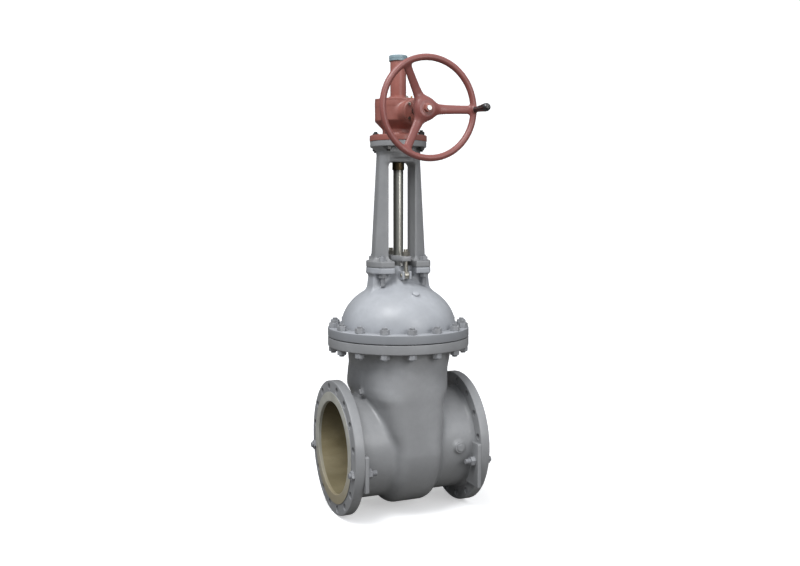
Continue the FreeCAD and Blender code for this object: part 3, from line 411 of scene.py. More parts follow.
def wall_faces(rows, segs):
    """Quads between stacked rings."""
    faces = []
    for i in range(rows - 1):
        for k in range(segs):
            j = (k + 1) % segs
            faces.append((i * segs + k, i * segs + j, (i + 1) * segs + j, (i + 1) * segs + k))
    return faces


def end_faces(rows, segs):
    return [tuple(range(segs))[::-1], tuple((rows - 1) * segs + k for k in range(segs))]


def threaded_rod(radius, low, high, threads, pitch, origin, axis, segs=24):
    """Rod with a helical thread on the given (from, to) stretches."""
    end_chamfer = 1.2
    levels = {low, low + end_chamfer, high - end_chamfer, high}
    for a, b in threads:
        levels |= set(np.round(np.arange(a, b, pitch / 5.0), 3))
    levels = sorted(v for v in levels if low <= v <= high)
    depth = pitch * 0.55
    verts = []
    for z in levels:
        for k in range(segs):
            t = 2 * math.pi * k / segs
            r = radius
            for a, b in threads:
                if a <= z <= b:
                    phase = (z / pitch - t / (2 * math.pi)) % 1.0
                    r = radius - depth * (1 - abs(2 * phase - 1))
            if z in (low, high):
                r = min(r, radius - end_chamfer)
            verts.append((r * math.cos(t), r * math.sin(t), z))
    faces = wall_faces(len(levels), segs) + end_faces(len(levels), segs)
    return place(verts, origin, axis), faces


def group(name, items, sharp=30):
    """One object from several (vertices, faces)."""
    verts, faces, base = [], [], 0
    for item_verts, item_faces in items:
        verts.append(np.asarray(item_verts))
        faces += [[i + base for i in face] for face in item_faces]
        base += len(item_verts)
    obj = new_mesh(name, np.vstack(verts), faces)
    face_outward(obj, weld=False)
    shade(obj, sharp=sharp)
    return obj


def slab(name, outline, low, high, chamfer, transform=None):
    """Outline (closed, counter-clockwise) given thickness, edges broken by the chamfer."""
    points = np.asarray(outline, float)
    tangent = np.roll(points, -1, 0) - np.roll(points, 1, 0)
    tangent /= np.linalg.norm(tangent, axis=1)[:, None]
    normal = np.stack([tangent[:, 1], -tangent[:, 0]], 1)
    stations = ((chamfer, low), (0.3 * chamfer, low + 0.3 * chamfer), (0, low + chamfer),
                (0, high - chamfer), (0.3 * chamfer, high - 0.3 * chamfer), (chamfer, high))
    rows = []
    for inset, z in stations:
        rows.append(np.column_stack([points - normal * inset, np.full(len(points), z)]))
    verts = np.vstack(rows)
    if transform is not None:
        verts = transform(verts)
    faces = end_faces(len(rows), len(points)) + wall_faces(len(rows), len(points))
    obj = new_mesh(name, verts, faces)
    face_outward(obj)
    shade(obj, sharp=34)
    return obj


def scatter(k, seed=0):
    """A steady scatter between 0 and 1."""
    return math.modf(abs(math.sin(k * 12.9898 + seed * 78.233) * 43758.5453))[0]


# ---------------------------------------------------------------- shader helpers
def grey(value):
    return (value, value, value, 1.0)


def tint(color, factor=1.0):
    return tuple(min(1.0, v * factor) for v in color) + (1.0,)


class Nodes:
    """Short-hands for adding nodes to a tree; most return the output socket."""

    def __init__(self, tree):
        self.tree = tree

    def new(self, kind):
        return self.tree.nodes.new("ShaderNode" + kind)

    def feed(self, socket, value):
        if isinstance(value, (int, float, tuple)):
            socket.default_value = value
        else:
            self.tree.links.new(value, socket)

    def ramp(self, factor, *stops):
        """Color ramp through (position, color) stops."""
        node = self.new("ValToRGB")
        elements = node.color_ramp.elements
        elements[0].position, elements[0].color = stops[0]
        elements[1].position, elements[1].color = stops[-1]
        for position, color in stops[1:-1]:
            elements.new(position).color = color
        self.feed(node.inputs[0], factor)
        return node.outputs[0]

    def fade(self, factor, start, end, first=0.0, last=1.0):
        """Grey ramp from first to last."""
        return self.ramp(factor, (start, grey(first)), (end, grey(last)))

    def mix(self, factor, a, b):
        node = self.new("Mix")
        node.data_type = "RGBA"
        for socket, value in ((0, factor), (6, a), (7, b)):
            self.feed(node.inputs[socket], value)
        return node.outputs[2]

    def math(self, operation, a, b=None, clamp=False):
        node = self.new("Math")
        node.operation = operation
        node.use_clamp = clamp
        self.feed(node.inputs[0], a)
        if b is not None:
            self.feed(node.inputs[1], b)
        return node.outputs[0]

    def times(self, value, by):
        return self.math("MULTIPLY", value, by)

    def separate(self, vector):
        node = self.new("SeparateXYZ")
        self.feed(node.inputs[0], vector)
        return node.outputs

    def camera_ray(self):
        return self.new("LightPath").outputs["Is Camera Ray"]


MATERIALS = {}


class Shader(Nodes):
    """A material with one Principled node, textured in object coordinates."""

    def __init__(self, name):
        self.material = bpy.data.materials.new(name)
        MATERIALS[name] = self.material
        self.material.use_nodes = True
        super().__init__(self.material.node_tree)
        self.tree.nodes.clear()
        output = self.new("OutputMaterial")
        principled = self.new("BsdfPrincipled")
        self.feed(output.inputs[0], principled.outputs[0])
        self.inputs = principled.inputs
        self.position = self.new("TexCoord").outputs["Object"]

    def set(self, name, value):
        self.feed(self.inputs[name], value)

    def noise(self, scale, detail=4.0, rough=0.6, stretch=None):
        node = self.new("TexNoise")
        node.inputs["Scale"].default_value = scale
        node.inputs["Detail"].default_value = detail
        node.inputs["Roughness"].default_value = rough
        source = self.position
        if stretch:
            mapping = self.new("Mapping")
            mapping.inputs["Scale"].default_value = stretch
            self.feed(mapping.inputs[0], source)
            source = mapping.outputs[0]
        self.feed(node.inputs["Vector"], source)
        return node.outputs["Fac"]

    def pointiness(self):
        return self.new("NewGeometry").outputs["Pointiness"]

    def bump(self, *layers):
        """Chain of (height, distance in metres, strength)."""
        last = None
        for height, distance, strength in layers:
            node = self.new("Bump")
            node.inputs["Distance"].default_value = distance
            node.inputs["Strength"].default_value = strength
            self.feed(node.inputs["Height"], height)
            if last is not None:
                self.feed(node.inputs["Normal"], last)
            last = node.outputs[0]
        self.set("Normal", last)


# ---------------------------------------------------------------- materials
def bore_finish(s, color, grain):
    """Oiled cast bore with painted shadow in its upper half, and ring-turned flange faces; returns
    (color, finest bump height).
    """
    # limits in metres
    inside_radius, inside_reach = 0.2012, 0.2985
    face_start, face_radius = 0.2962, 0.2409
    groove_frequency = 5200.0

    x, y, z = s.separate(s.position)
    y_squared = s.math("POWER", y, 2.0)
    z_squared = s.math("POWER", z, 2.0)
    radius = s.math("SQRT", s.math("ADD", y_squared, z_squared))
    inside = s.math("LESS_THAN", radius, inside_radius)
    reach = s.math("ABSOLUTE", x)
    inner = s.times(inside, by=s.math("LESS_THAN", reach, inside_reach))
    height = s.math("ADD", z, 0.5)      # lifted so that the ramps see 0 to 1

    streaks = s.noise(scale=7.0, detail=5.0, rough=0.65, stretch=(0.4, 1, 1))
    oil_and_shade = s.mix(s.fade(streaks, start=0.3, end=0.7), (0.205, 0.168, 0.088, 1), (0.385, 0.33, 0.205, 1))
    # painted shadow: the upper half of the bore darkens to near black
    oil_and_shade = s.mix(s.fade(height, start=0.50, end=0.665, last=0.82), oil_and_shade, (0.022, 0.014, 0.007, 1))
    # darker and browner towards the bottom of the bore
    oil_and_shade = s.mix(s.fade(height, start=0.335, end=0.43, first=0.55, last=0.0),
                oil_and_shade, (0.10, 0.085, 0.045, 1))
    color = s.mix(inner, color, oil_and_shade)

    past_start = s.math("GREATER_THAN", reach, face_start)
    face = s.times(past_start, by=s.math("LESS_THAN", radius, face_radius))
    grooves = s.math("SINE", s.times(radius, by=groove_frequency))
    stains = s.noise(scale=14.0, detail=5.0)
    turned = s.mix(s.fade(stains, start=0.35, end=0.7),
                   (0.355, 0.350, 0.305, 1), (0.455, 0.448, 0.395, 1))
    turned = s.mix(s.fade(height, start=0.30, end=0.50, first=1.0, last=0.0),
                   turned, (0.315, 0.270, 0.175, 1))
    return s.mix(face, color, turned), s.mix(face, grain, grooves)


def paint(name, base, rough=0.4, relief=1.0, edge=0.25, bore=False,
          under=(0.23, 0.22, 0.21), shade_below=0.0):
    """Paint over a casting: drifting tone, cast grain, rubbed edges, painted shade in corners and, if
    asked, below a height.
    """
    s = Shader(name)
    patches = s.noise(scale=5.0, detail=5.0)
    mottle = s.noise(scale=38.0)
    peel = s.noise(scale=260.0, detail=3.0)
    grain = s.noise(scale=900.0, detail=2.0)
    color = s.mix(s.fade(patches, start=0.35, end=0.68), tint(base, 0.88), tint(base, 1.10))
    color = s.mix(s.fade(mottle, start=0.42, end=0.75, last=0.55), color, tint(base, 0.90))
    # painted shade in hollows, wear on ridges
    pointiness = s.pointiness()
    hollow = s.fade(pointiness, start=0.40, end=0.485, first=1.0, last=0.0)
    ridge = s.fade(pointiness, start=0.53, end=0.60)
    # painted shade: concave spots darken toward near-black
    color = s.mix(s.times(hollow, by=0.35), color, tint((0.10, 0.095, 0.085)))
    patchy = s.fade(s.noise(scale=60.0, detail=3.0, rough=0.7), start=0.45, end=0.62)
    worn = s.times(ridge, by=patchy)
    color = s.mix(s.times(worn, by=edge), color, tint(base, 1.45))
    # small specks and scuffs
    speck = s.fade(s.noise(scale=420.0, detail=2.0, rough=0.5), start=0.70, end=0.76)
    color = s.mix(s.times(speck, by=0.35), color, tint(base, 1.35))
    scuff = s.noise(scale=22.0, detail=6.0, rough=0.75, stretch=(1, 1, 3.0))
    scuff = s.fade(scuff, start=0.66, end=0.72)
    color = s.mix(s.times(scuff, by=0.25), color, tint(under, 1.3))
    # painted shade: everything below the given height is darkened
    if shade_below:
        low = s.math("LESS_THAN", s.separate(s.position)[2], shade_below)
        color = s.mix(s.times(low, by=0.65), color, tint(base, 0.48))
    roughness = s.mix(mottle, grey(rough - 0.08), grey(rough + 0.12))
    finest = grain
    if bore:
        color, finest = bore_finish(s, color, grain)
    s.set("Base Color", color)
    s.set("Roughness", roughness)
    s.set("Coat Weight", 0.15)
    s.set("Coat Roughness", 0.25)
    s.bump((patches, 0.004, 0.10 * relief), (mottle, 0.0016, 0.22 * relief),
           (peel, 0.0005, 0.35 * relief), (finest, 0.00015, 0.25))


def metal(name, base, rough, hollow_shade, stretch=None, tarnish=0.3, shade_above=0.0):
    """Bare metal with tool marks, painted shade in hollows, and painted shade above an optional height
    in metres.
    """
    s = Shader(name)
    s.set("Metallic", 1.0)
    smudges = s.noise(scale=16.0, detail=5.0, rough=0.65)
    marks = s.noise(scale=500.0, detail=2.0, stretch=stretch)
    color = s.mix(s.fade(smudges, start=0.35, end=0.75), tint(base, 1.06), tint(base, 1.0 - tarnish))
    # painted shade in hollows
    hollow = s.fade(s.pointiness(), start=0.38, end=0.49, first=1.0, last=0.0)
    color = s.mix(s.times(hollow, by=hollow_shade), color, tint((0.06, 0.055, 0.05)))
    # painted shade above the given height, with a wavering edge
    if shade_above:
        waver = 0.012
        height = s.separate(s.position)[2]
        edge = s.math("ADD", height, s.times(smudges, by=waver))
        above = s.math("SUBTRACT", edge, shade_above - waver)
        top_shade = s.math("MULTIPLY", above, 40.0, clamp=True)
        top_shade = s.fade(top_shade, start=0.1, end=0.9, last=0.92)
        color = s.mix(top_shade, color, (0.035, 0.030, 0.022, 1))
    s.set("Base Color", color)
    s.set("Roughness", s.mix(smudges, grey(max(0.05, rough - 0.1)), grey(rough + 0.15)))
    s.bump((smudges, 0.0006, 0.15), (marks, 0.00012, 0.35))


def plastic(name, base, rough=0.35, fine_scale=350.0, coat=0.2):
    """Plastic, rubber or graphite with pale flecks."""
    s = Shader(name)
    patches = s.noise(scale=30.0)
    fine = s.noise(scale=fine_scale, detail=3.0)
    color = s.mix(s.fade(patches, start=0.35, end=0.7), tint(base, 0.85), tint(base, 1.15))
    flecks = s.fade(s.noise(scale=160.0, detail=3.0, rough=0.7), start=0.64, end=0.74, last=0.4)
    color = s.mix(flecks, color, tint(base, 1.8))
    s.set("Base Color", color)
    s.set("Roughness", s.mix(patches, grey(rough - 0.06), grey(rough + 0.12)))
    s.set("Coat Weight", coat)
    s.bump((patches, 0.0008, 0.15), (fine, 0.0002, 0.3))


RED_UNDER = (0.30, 0.13, 0.09)
paint("grey_paint", (0.262, 0.265, 0.270), bore=True)
# the bonnet flange's rim, below its top face, gets painted shade
paint("light_grey_paint", (0.352, 0.364, 0.384), shade_below=(BONNET_LOW[2] + 36.5) / 1000)
paint("red_paint", (0.285, 0.094, 0.072), rough=0.42, under=RED_UNDER, edge=0.35)
paint("wheel_red_paint", (0.225, 0.069, 0.058), rough=0.40, under=RED_UNDER, edge=0.45)
paint("yoke_grey_paint", (0.238, 0.241, 0.245))
plastic("teal_plastic", (0.205, 0.285, 0.315))
plastic("black_plastic", (0.012, 0.012, 0.013), rough=0.22, fine_scale=200.0, coat=0.5)
# the stem gets painted shade above 1.196 m, where the yoke shades it
metal("bright_steel", (0.44, 0.435, 0.39), rough=0.30, hollow_shade=0.8, stretch=(1, 1, 0.05),
      tarnish=0.18, shade_above=1.196)
# darker copy of bronze for the stem nut: painted shade from the yoke around it
metal("bronze_shaded", (0.085, 0.062, 0.034), rough=0.38, hollow_shade=0.5)
metal("machined_steel", (0.46, 0.46, 0.45), rough=0.35, hollow_shade=0.4)
metal("cast_steel", (0.20, 0.20, 0.20), rough=0.55, hollow_shade=0.4)
metal("bronze", (0.50, 0.33, 0.14), rough=0.32, hollow_shade=0.5)
plastic("graphite", (0.02, 0.02, 0.021), rough=0.6, fine_scale=600.0, coat=0.0)
plastic("seal_rubber", (0.015, 0.015, 0.015), rough=0.6, fine_scale=500.0, coat=0.0)
paint("painted_fasteners", (0.26, 0.265, 0.275), rough=0.38, relief=0.35, edge=0.5)
metal("dark_fasteners", (0.10, 0.098, 0.095), rough=0.42, hollow_shade=0.5)
metal("plated_fasteners", (0.40, 0.38, 0.33), rough=0.34, hollow_shade=0.5)


def dress(obj, material, node, body="valve_frame", sharp=None):
    """Give a finished piece its material and put it in place of a frame node."""
    if sharp is not None:
        shade(obj, sharp=sharp)
    obj.data.materials.clear()
    obj.data.materials.append(MATERIALS[material])
    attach(obj, body)
    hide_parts(node)


def dress_frame_pieces():
    slots = {part["node"]: part["material_slot"] for part in frame["record"]["subparts"]}
    for node, obj in frame["nodes"].items():
        # the stem nut gets the darker bronze copy, painted shade under the yoke
        material = "bronze_shaded" if node == "stem_nut" else slots[node]
        obj.data.materials.clear()
        obj.data.materials.append(MATERIALS[material])
        shade(obj, sharp=30)


dress_frame_pieces()

# ---------------------------------------------------------------- valve body
SEAT_X, SEAT_TILT = 46, math.radians(5.0)
CHAMBER_X, CHAMBER_Y = 104, 272         # half widths
CHAMBER_DEPTH = 261.0
WALL = 22

# neck sections: height, gain in half width x, loss in half width y, superellipse power, shift in x
LEVELS = [
    (0, 2, 1, 5.0, 0), (35, 11, 2, 5.0, -2), (80, 24, 3, 4.6, -4), (125, 36, 5, 4.3, -7),
    (165, 43, 6, 4.1, -11), (200, 51, 7, 3.9, -15), (235, 66, 8, 3.8, -18),
    (262, 79, 9, 3.3, -13), (285, 86, 10, 2.9, -10), (320, 91, 12, 2.6, -8),
    (350, 92, 14, 2.5, -5), (390, 111, 15, 2.1, 0), (420, 119, 14, 2.0, 3),
    (520, 119, 14, 2.0, 3),
]


def eased_level(z, column):
    """A column of LEVELS at height z, eased between its rows."""
    heights = np.arange(0, 522, 2.0)
    values = np.interp(heights, [row[0] for row in LEVELS], [row[column] for row in LEVELS])
    kernel = np.hanning(15)
    kernel /= kernel.sum()
    values = np.convolve(np.pad(values, 7, mode="edge"), kernel, mode="valid")
    return np.interp(z, heights, values)


def neck_field(x, y, z, inset, flare):
    half_x = CHAMBER_X + eased_level(z, 1) - inset
    half_y = CHAMBER_Y - eased_level(z, 2) - inset
    power = eased_level(z, 3)
    x = x - eased_level(z, 4)
    if flare:
        spread = np.clip((z - 404) / 30.0, 0, 1.2) ** 2.2
        half_x, half_y = half_x + 16 * spread, half_y + 7 * spread
    return superellipse(x, y, half_x, half_y, power)


def bowl_field(x, y, z, inset):
    # the bottom of the bowl is a little flatter than a half circle
    half, depth = float(CHAMBER_Y) - inset, CHAMBER_DEPTH - inset
    radius = (half ** 2 + depth ** 2) / (2 * depth)
    low = np.sqrt(y * y + (z - (radius - depth)) ** 2) - radius
    side = np.where(z < 0, low, np.abs(y) + z * 9.0 / 236 - (CHAMBER_Y - inset))
    return round_edge(side, np.abs(x) - (CHAMBER_X - inset), max(20.0, 50.0 - inset))


def chamber_field(x, y, z, inset, flare, top):
    """Bowl below, oval neck above, handed over gradually so that no shelf forms."""
    w = np.clip((z - 5) / 90.0, 0, 1)
    w = w * w * (3 - 2 * w)
    sides = bowl_field(x, y, z, inset) * (1 - w) + neck_field(x, y, z, inset, flare) * w
    return meet(sides, z - top, 4)


def body_field(x, y, z):
    along = np.abs(x)
    r = np.sqrt(y * y + z * z)
    # chamber with a hub toward each end flange
    chamber = chamber_field(x, y, z, inset=0, flare=True, top=446)
    hub = 225 + 13 * np.clip((along - 244) / 20.0, 0, 1.4) ** 2
    solid = blend(chamber, np.maximum(r - hub, along - 272), 24)
    # roots of the side bosses and of the neck boss
    for sx, sy in ((1, -1), (-1, 1)):
        q = np.sqrt((x - STUB_X * sx) ** 2 + (z - STUB_Z) ** 2)
        boss = round_edge(q - 22.2, sy * y - (STUB_Y - 2.5), 3)
        solid = blend(solid, np.maximum(boss, 150 - sy * y), 16)
    q = np.sqrt((y - NECK_PLUG[1]) ** 2 + (z - NECK_PLUG[2]) ** 2)
    boss = round_edge(q - 16.2, -x - (-NECK_PLUG[0] - 2.5), 3)
    solid = blend(solid, np.maximum(boss, 60 + x), 14)
    # hollow, less the tilted barrels round the bore and the rails on the side walls
    hollow = chamber_field(x, y, z, inset=WALL, flare=False, top=500)
    past_seat = (along - SEAT_X) * math.cos(SEAT_TILT) - z * math.sin(SEAT_TILT)
    barrel = np.maximum(np.maximum(r - 236, 8.0 - past_seat), along - 100)
    rail = round_box(along - 9, np.abs(np.abs(y) - 238.5) - 25, np.abs(z - 194) - 240, 2)
    hollow = np.maximum(np.maximum(hollow, -barrel), -rail)
    return np.maximum(solid, -hollow)


def joint_holes(low, high):
    return [cutter(JOINT_HOLE, low - 4, high + 4, (px, py, 0), segs=36)
            for px, py in bolt_circle(*JOINT_CIRCLE)]


def make_body():
    step = 5.0
    body = field_mesh("valve_body_casting", body_field, (-276, -286, -286), (276, 286, 452), step)
    # flanges and bosses
    raised = FLANGE_FACE - 4
    flange = [(0, FLANGE_BACK), (290, FLANGE_BACK, 3.5), (290, raised, 4), (241, raised, 0.8),
              (241, FLANGE_FACE, 1.2), (0, FLANGE_FACE)]
    for s in (-1, 1):
        add(body, lathe("flange", flange, axis=(s, 0, 0), segs=160))
    top = [(0, BODY_TOP_LOW), (JOINT_RADIUS, BODY_TOP_LOW, 4), (JOINT_RADIUS, BODY_TOP, 2),
           (0, BODY_TOP)]
    add(body, lathe("top flange", top, segs=176))
    stub = [(0, 160), (23, 160), (23, STUB_Y, 2.2), (0, STUB_Y)]
    for s in (-1, 1):
        add(body, lathe("stub", stub, (STUB_X * s, 0, STUB_Z), (0, -s, 0), 64))
    neck_x = -NECK_PLUG[0]
    neck_origin = (0, NECK_PLUG[1], NECK_PLUG[2])
    neck_boss = [(0, 120), (17, 120), (17, neck_x, 2), (0, neck_x)]
    add(body, lathe("neck boss", neck_boss, neck_origin, LEFT, 56))
    # bore, tilted pockets beside the chamber, mouth
    cut(body, cutter(BORE_RADIUS, -FLANGE_FACE - 5, FLANGE_FACE + 5, axis=(1, 0, 0), segs=160,
                     lips=((-FLANGE_FACE, 2.5), (FLANGE_FACE, 2.5))))
    pocket = [(0, 7.8), (216.05, 7.8), (216.05, 20.05), (0, 20.05)]
    for s in (-1, 1):
        axis = (s * math.cos(SEAT_TILT), 0, -math.sin(SEAT_TILT))
        cut(body, lathe("pocket", pocket, (s * SEAT_X, 0, 0), axis, 160))
    cut(body, lathe("mouth", [(0, 430), (191, 430), (191, 480), (0, 480)], segs=120))
    # bolt holes and plug holes
    cut(body, *[cutter(15, FLANGE_BACK - 26, FLANGE_FACE + 4, (0, py, pz), (s, 0, 0), 40,
                       lips=((raised, 1.2),))
                for s in (-1, 1) for pz, py in bolt_circle(*FLANGE_CIRCLE)])
    holes = joint_holes(BODY_TOP_LOW, BODY_TOP)
    for s in (-1, 1):
        holes.append(cutter(10, 221, 245, (STUB_X * s, 0, STUB_Z), (0, -s, 0), 32))
    holes.append(cutter(9, neck_x - 16, neck_x + 8, neck_origin, LEFT, 32))
    cut(body, *holes)
    dress(body, "grey_paint", "valve_body", sharp=34)


make_body()


# ---------------------------------------------------------------- bonnet
def ear_field(ax, ay, z, middle, half):
    """Pair of ears on the X sides: a disc with flats, open in the middle."""
    ear = round_edge(np.maximum(np.sqrt(ax * ax + ay * ay) - 141, ay - 86),
                     np.abs(z - middle) - half, 4)
    return meet(ear, 50 - ax, 4)


def bonnet_field(x, y, z):
    ax, ay = np.abs(x), np.abs(y)
    r = np.sqrt(x * x + y * y)
    height = z - 516
    # flattened dome with a neck that widens into it
    dome = meet(ellipse(r, height, 252.0, 195.0), 490 - z, 2)
    t = np.clip((z - 695) / 60.0, 0, 1)
    neck = np.maximum(round_edge(r - (58 + 30 * (1 - t) ** 2), z - NECK_TOP, 2), 600 - z)
    solid = blend(dome, neck, 22)
    solid = blend(solid, ear_field(ax, ay, z, middle=765, half=13), 10)
    # ribs under the ears, webs, and the lugs for the gland bolts
    rib_outline = [(60, 754), (127, 754), (138, 674), (146, 655), (120, 620), (60, 620)]
    rib = meet(polygon_field(ax, z, rib_outline), ay - 38, 8)
    solid = blend(solid, rib, 18)
    web = round_box(np.abs(ax - 70) - 26, ay - 11, np.abs(z - 717) - 37, 3)
    solid = blend(solid, web, 12)
    lug = round_box(np.abs(ax - 16) - 5, np.abs(ay - 75.5) - 25.5, np.abs(z - GLAND_HINGE_Z) - 18, 2)
    solid = blend(solid, lug, 6)
    # boss of the dome plug
    axis = Vector(DOME_PLUG_AXIS).normalized()
    wx, wy, wz = x - DOME_PLUG[0], y - DOME_PLUG[1], z - DOME_PLUG[2]
    h = wx * axis.x + wy * axis.y + wz * axis.z
    q = np.sqrt(np.maximum((wx * wx + wy * wy + wz * wz) - h * h, 0))
    solid = blend(solid, np.maximum(round_edge(q - 18.5, h - 1.5, 1.5), -20 - h), 8)
    # hollow, with a round block left under the neck
    hollow = np.where(height < 0, r - 230, ellipse(r, height, 230.0, 172.0))
    hollow = np.maximum(hollow, -np.maximum(r - 48, 681 - z))
    return np.maximum(solid, -hollow)


def make_bonnet():
    step = 3.0
    bonnet = field_mesh("bonnet_casting", bonnet_field, (-262, -262, 484), (262, 262, 790), step)
    flange = [(229, BONNET_BOTTOM), (JOINT_RADIUS, BONNET_BOTTOM, 2),
              (JOINT_RADIUS, BONNET_FLANGE_TOP, 4.5), (246, BONNET_FLANGE_TOP, 0),
              (229, BONNET_FLANGE_TOP - 8)]
    add(bonnet, lathe("flange", flange, segs=176))
    cuts = [cutter(36, 704, 800, segs=64, lips=((NECK_TOP, 1.5),))]
    cuts += joint_holes(BONNET_BOTTOM, BONNET_FLANGE_TOP)
    for sx, sy in CORNERS:
        cuts.append(cutter(EAR_HOLE, 740, 790, (EAR_X * sx, EAR_Y * sy, 0), segs=32))
    cut(bonnet, *cuts)
    cut(bonnet, cutter(30, 660, 705))
    cut(bonnet, cutter(10.2, -16, 40, DOME_PLUG, DOME_PLUG_AXIS, 40))
    for s in (-1, 1):
        cut(bonnet, cutter(8.1, -26, 26, (0, GLAND_BOLT_Y * s, GLAND_HINGE_Z), (1, 0, 0), 32))
    dress(bonnet, "light_grey_paint", "bonnet", sharp=34)


make_bonnet()

# the gasket's edge sits a little inside the flanges
gasket = lathe("gasket_ring", [(236, 474.05), (272, 474.05, 0.5), (272, 477.95, 0.5),
                               (236, 477.95)], segs=176)
dress(gasket, "graphite", "bonnet_gasket")


# ---------------------------------------------------------------- yoke
def yoke_field(x, y, z):
    ax, ay = np.abs(x), np.abs(y)
    r = np.sqrt(x * x + y * y)
    foot = ear_field(ax, ay, z, middle=792, half=14)
    # legs: flat inner face, leaning outer face, chamfered outer corners
    outer = np.interp(z, [804, 1251, 1295], [120.5, 94.5, 90.5])
    half = np.full(z.shape, 45.0)       # double precision, like outer
    lean = outer - 73
    chamfer = ((ax - 73) * 18.0 + (ay - half) * lean) / np.sqrt(18.0 ** 2 + lean ** 2)
    leg = meet(meet(meet(61 - ax, ax - outer, 6), ay - half, 6), chamfer, 10)
    leg = meet(leg, np.maximum(790 - z, z - 1300), 4)
    solid = blend(foot, leg, 22)
    # crossbar, cone under the top flange, stem sleeve
    bar = round_box(ax - 68, ay - 45, np.abs(z - 1263) - 32, 5)
    solid = blend(solid, bar, 20)
    cone = meet(r - np.interp(z, [1275, 1297, 1310], [92, 122, 122]), ay - 58, 6)
    cone = meet(cone, np.maximum(1272 - z, z - 1312), 3)
    solid = blend(solid, cone, 14)
    return blend(solid, np.maximum(round_edge(r - 62, 1251 - z, 3), z - 1310), 12)


def make_yoke():
    step = 2.6
    yoke = field_mesh("yoke_casting", yoke_field, (-146, -92, 774), (146, 92, 1316), step)
    flange = [(0, YOKE_FLANGE_BOTTOM), (122, YOKE_FLANGE_BOTTOM, 3), (122, YOKE_TOP, 2),
              (0, YOKE_TOP)]
    add(yoke, lathe("flange", flange, segs=128))
    cuts = [cutter(34.2, 1200, 1340, segs=64)]
    for sx, sy in CORNERS:
        cuts.append(cutter(EAR_HOLE, 760, 808, (EAR_X * sx, EAR_Y * sy, 0), segs=32))
        cuts.append(cutter(DRIVE_HOLE, 1290, 1330, (DRIVE_XY * sx, DRIVE_XY * sy, 0), segs=32))
    cut(yoke, *cuts)
    # recess in the top, and room for the nuts at both ends of the legs
    foot_seat = [(0, EAR_TOP), (17.8, EAR_TOP, 1.5), (17.8, EAR_TOP + 30), (0, EAR_TOP + 30)]
    drive_seat = [(0, 1250), (14.8, 1250), (14.8, YOKE_FLANGE_BOTTOM, 1), (0, YOKE_FLANGE_BOTTOM)]
    cuts = [cutter(52, 1296, 1330, segs=64)]
    for sx, sy in CORNERS:
        cuts.append(lathe("seat", foot_seat, (EAR_X * sx, EAR_Y * sy, 0), segs=40))
        cuts.append(lathe("seat", drive_seat, (DRIVE_XY * sx, DRIVE_XY * sy, 0), segs=40))
    cut(yoke, *cuts)
    dress(yoke, "yoke_grey_paint", "yoke", sharp=34)


make_yoke()

# ---------------------------------------------------------------- gearbox
# (r, z) outlines of the housing and its hollow
DRUM = [(0, 1324), (123, 1324), (123, 1345), (74, 1345), (68, 1353), (68, 1370), (74, 1378),
        (96, 1400), (101, 1406), (101, 1484), (0, 1484)]
DRUM_HOLLOW = [(0, 1300), (36, 1326), (36, 1378), (60, 1390), (90, 1408), (90, 1500), (0, 1500)]


def gearbox_field(x, y, z):
    r = np.sqrt(x * x + y * y)
    solid = polygon_field(r, z, DRUM)
    # tapering input boss with a collar at its front end
    q = np.sqrt(x * x + (z - INPUT_Z) ** 2)
    boss = q - np.interp(-y, [60, 74, 98], [52, 52, 45])
    boss = np.maximum(np.maximum(boss, y + 40), -y - 172)
    solid = blend(solid, boss, 14)
    solid = blend(solid, round_edge(q - 51, np.abs(y + 167) - 6, 2), 9)
    return np.maximum(solid, -polygon_field(r, z, DRUM_HOLLOW))


def make_gearbox():
    step = 2.2
    gearbox = field_mesh("gearbox_casting", gearbox_field, (-128, -176, 1316), (128, 128, 1488), step)
    bottom, top = YOKE_TOP, GEARBOX_FLANGE_TOP
    add(gearbox, lathe("flange", [(36, bottom), (124, bottom, 2), (124, top, 3), (71, top),
                                  (36, 1340)], segs=128))
    add(gearbox, lathe("rim", [(90.0, 1462), (101.4, 1462, 1), (101.4, GEARBOX_TOP, 1.5),
                               (90.0, GEARBOX_TOP)], segs=128))
    add(gearbox, lathe("collar", [(30, 160), (52, 160, 2), (52, 175, 1.2), (30, 175)],
                       INPUT_ORIGIN, FRONT, 96))
    cuts = [cutter(31, 70, 180, INPUT_ORIGIN, FRONT, 64)]
    for sx, sy in CORNERS:
        cuts.append(cutter(DRIVE_HOLE, 1310, 1350, (DRIVE_XY * sx, DRIVE_XY * sy, 0), segs=32))
    cut(gearbox, *cuts)
    cut(gearbox, cutter(52, 1310, 1326, segs=64))
    cut(gearbox, *[cutter(3.6, 1472, 1492, (px, py, 0), segs=20)
                   for px, py in bolt_circle(*LID_CIRCLE)])
    dress(gearbox, "red_paint", "gearbox_housing", sharp=34)


def make_lid():
    hole = TUBE_RADIUS + 0.05
    profile = [(39.05, 1488.02), (101, 1488.02, 0.6), (101, 1498, 2.2), (47, 1498, 5), (40, 1504, 3),
               (40, 1512, 1.2), (hole, 1512), (hole, 1498.05), (39.05, 1498.05)]
    lid = lathe("gearbox_lid", profile, segs=128)
    # the screw holes, and one smaller hole further in
    cuts = [cutter(4.2, 1480, 1502, (px, py, 0), segs=24) for px, py in bolt_circle(*LID_CIRCLE)]
    cuts += [cutter(4.0, 1480, 1502, (px, py, 0), segs=24) for px, py in bolt_circle(64, 1, -50)]
    cut(lid, *cuts)
    dress(lid, "red_paint", "gearbox_cover", sharp=34)


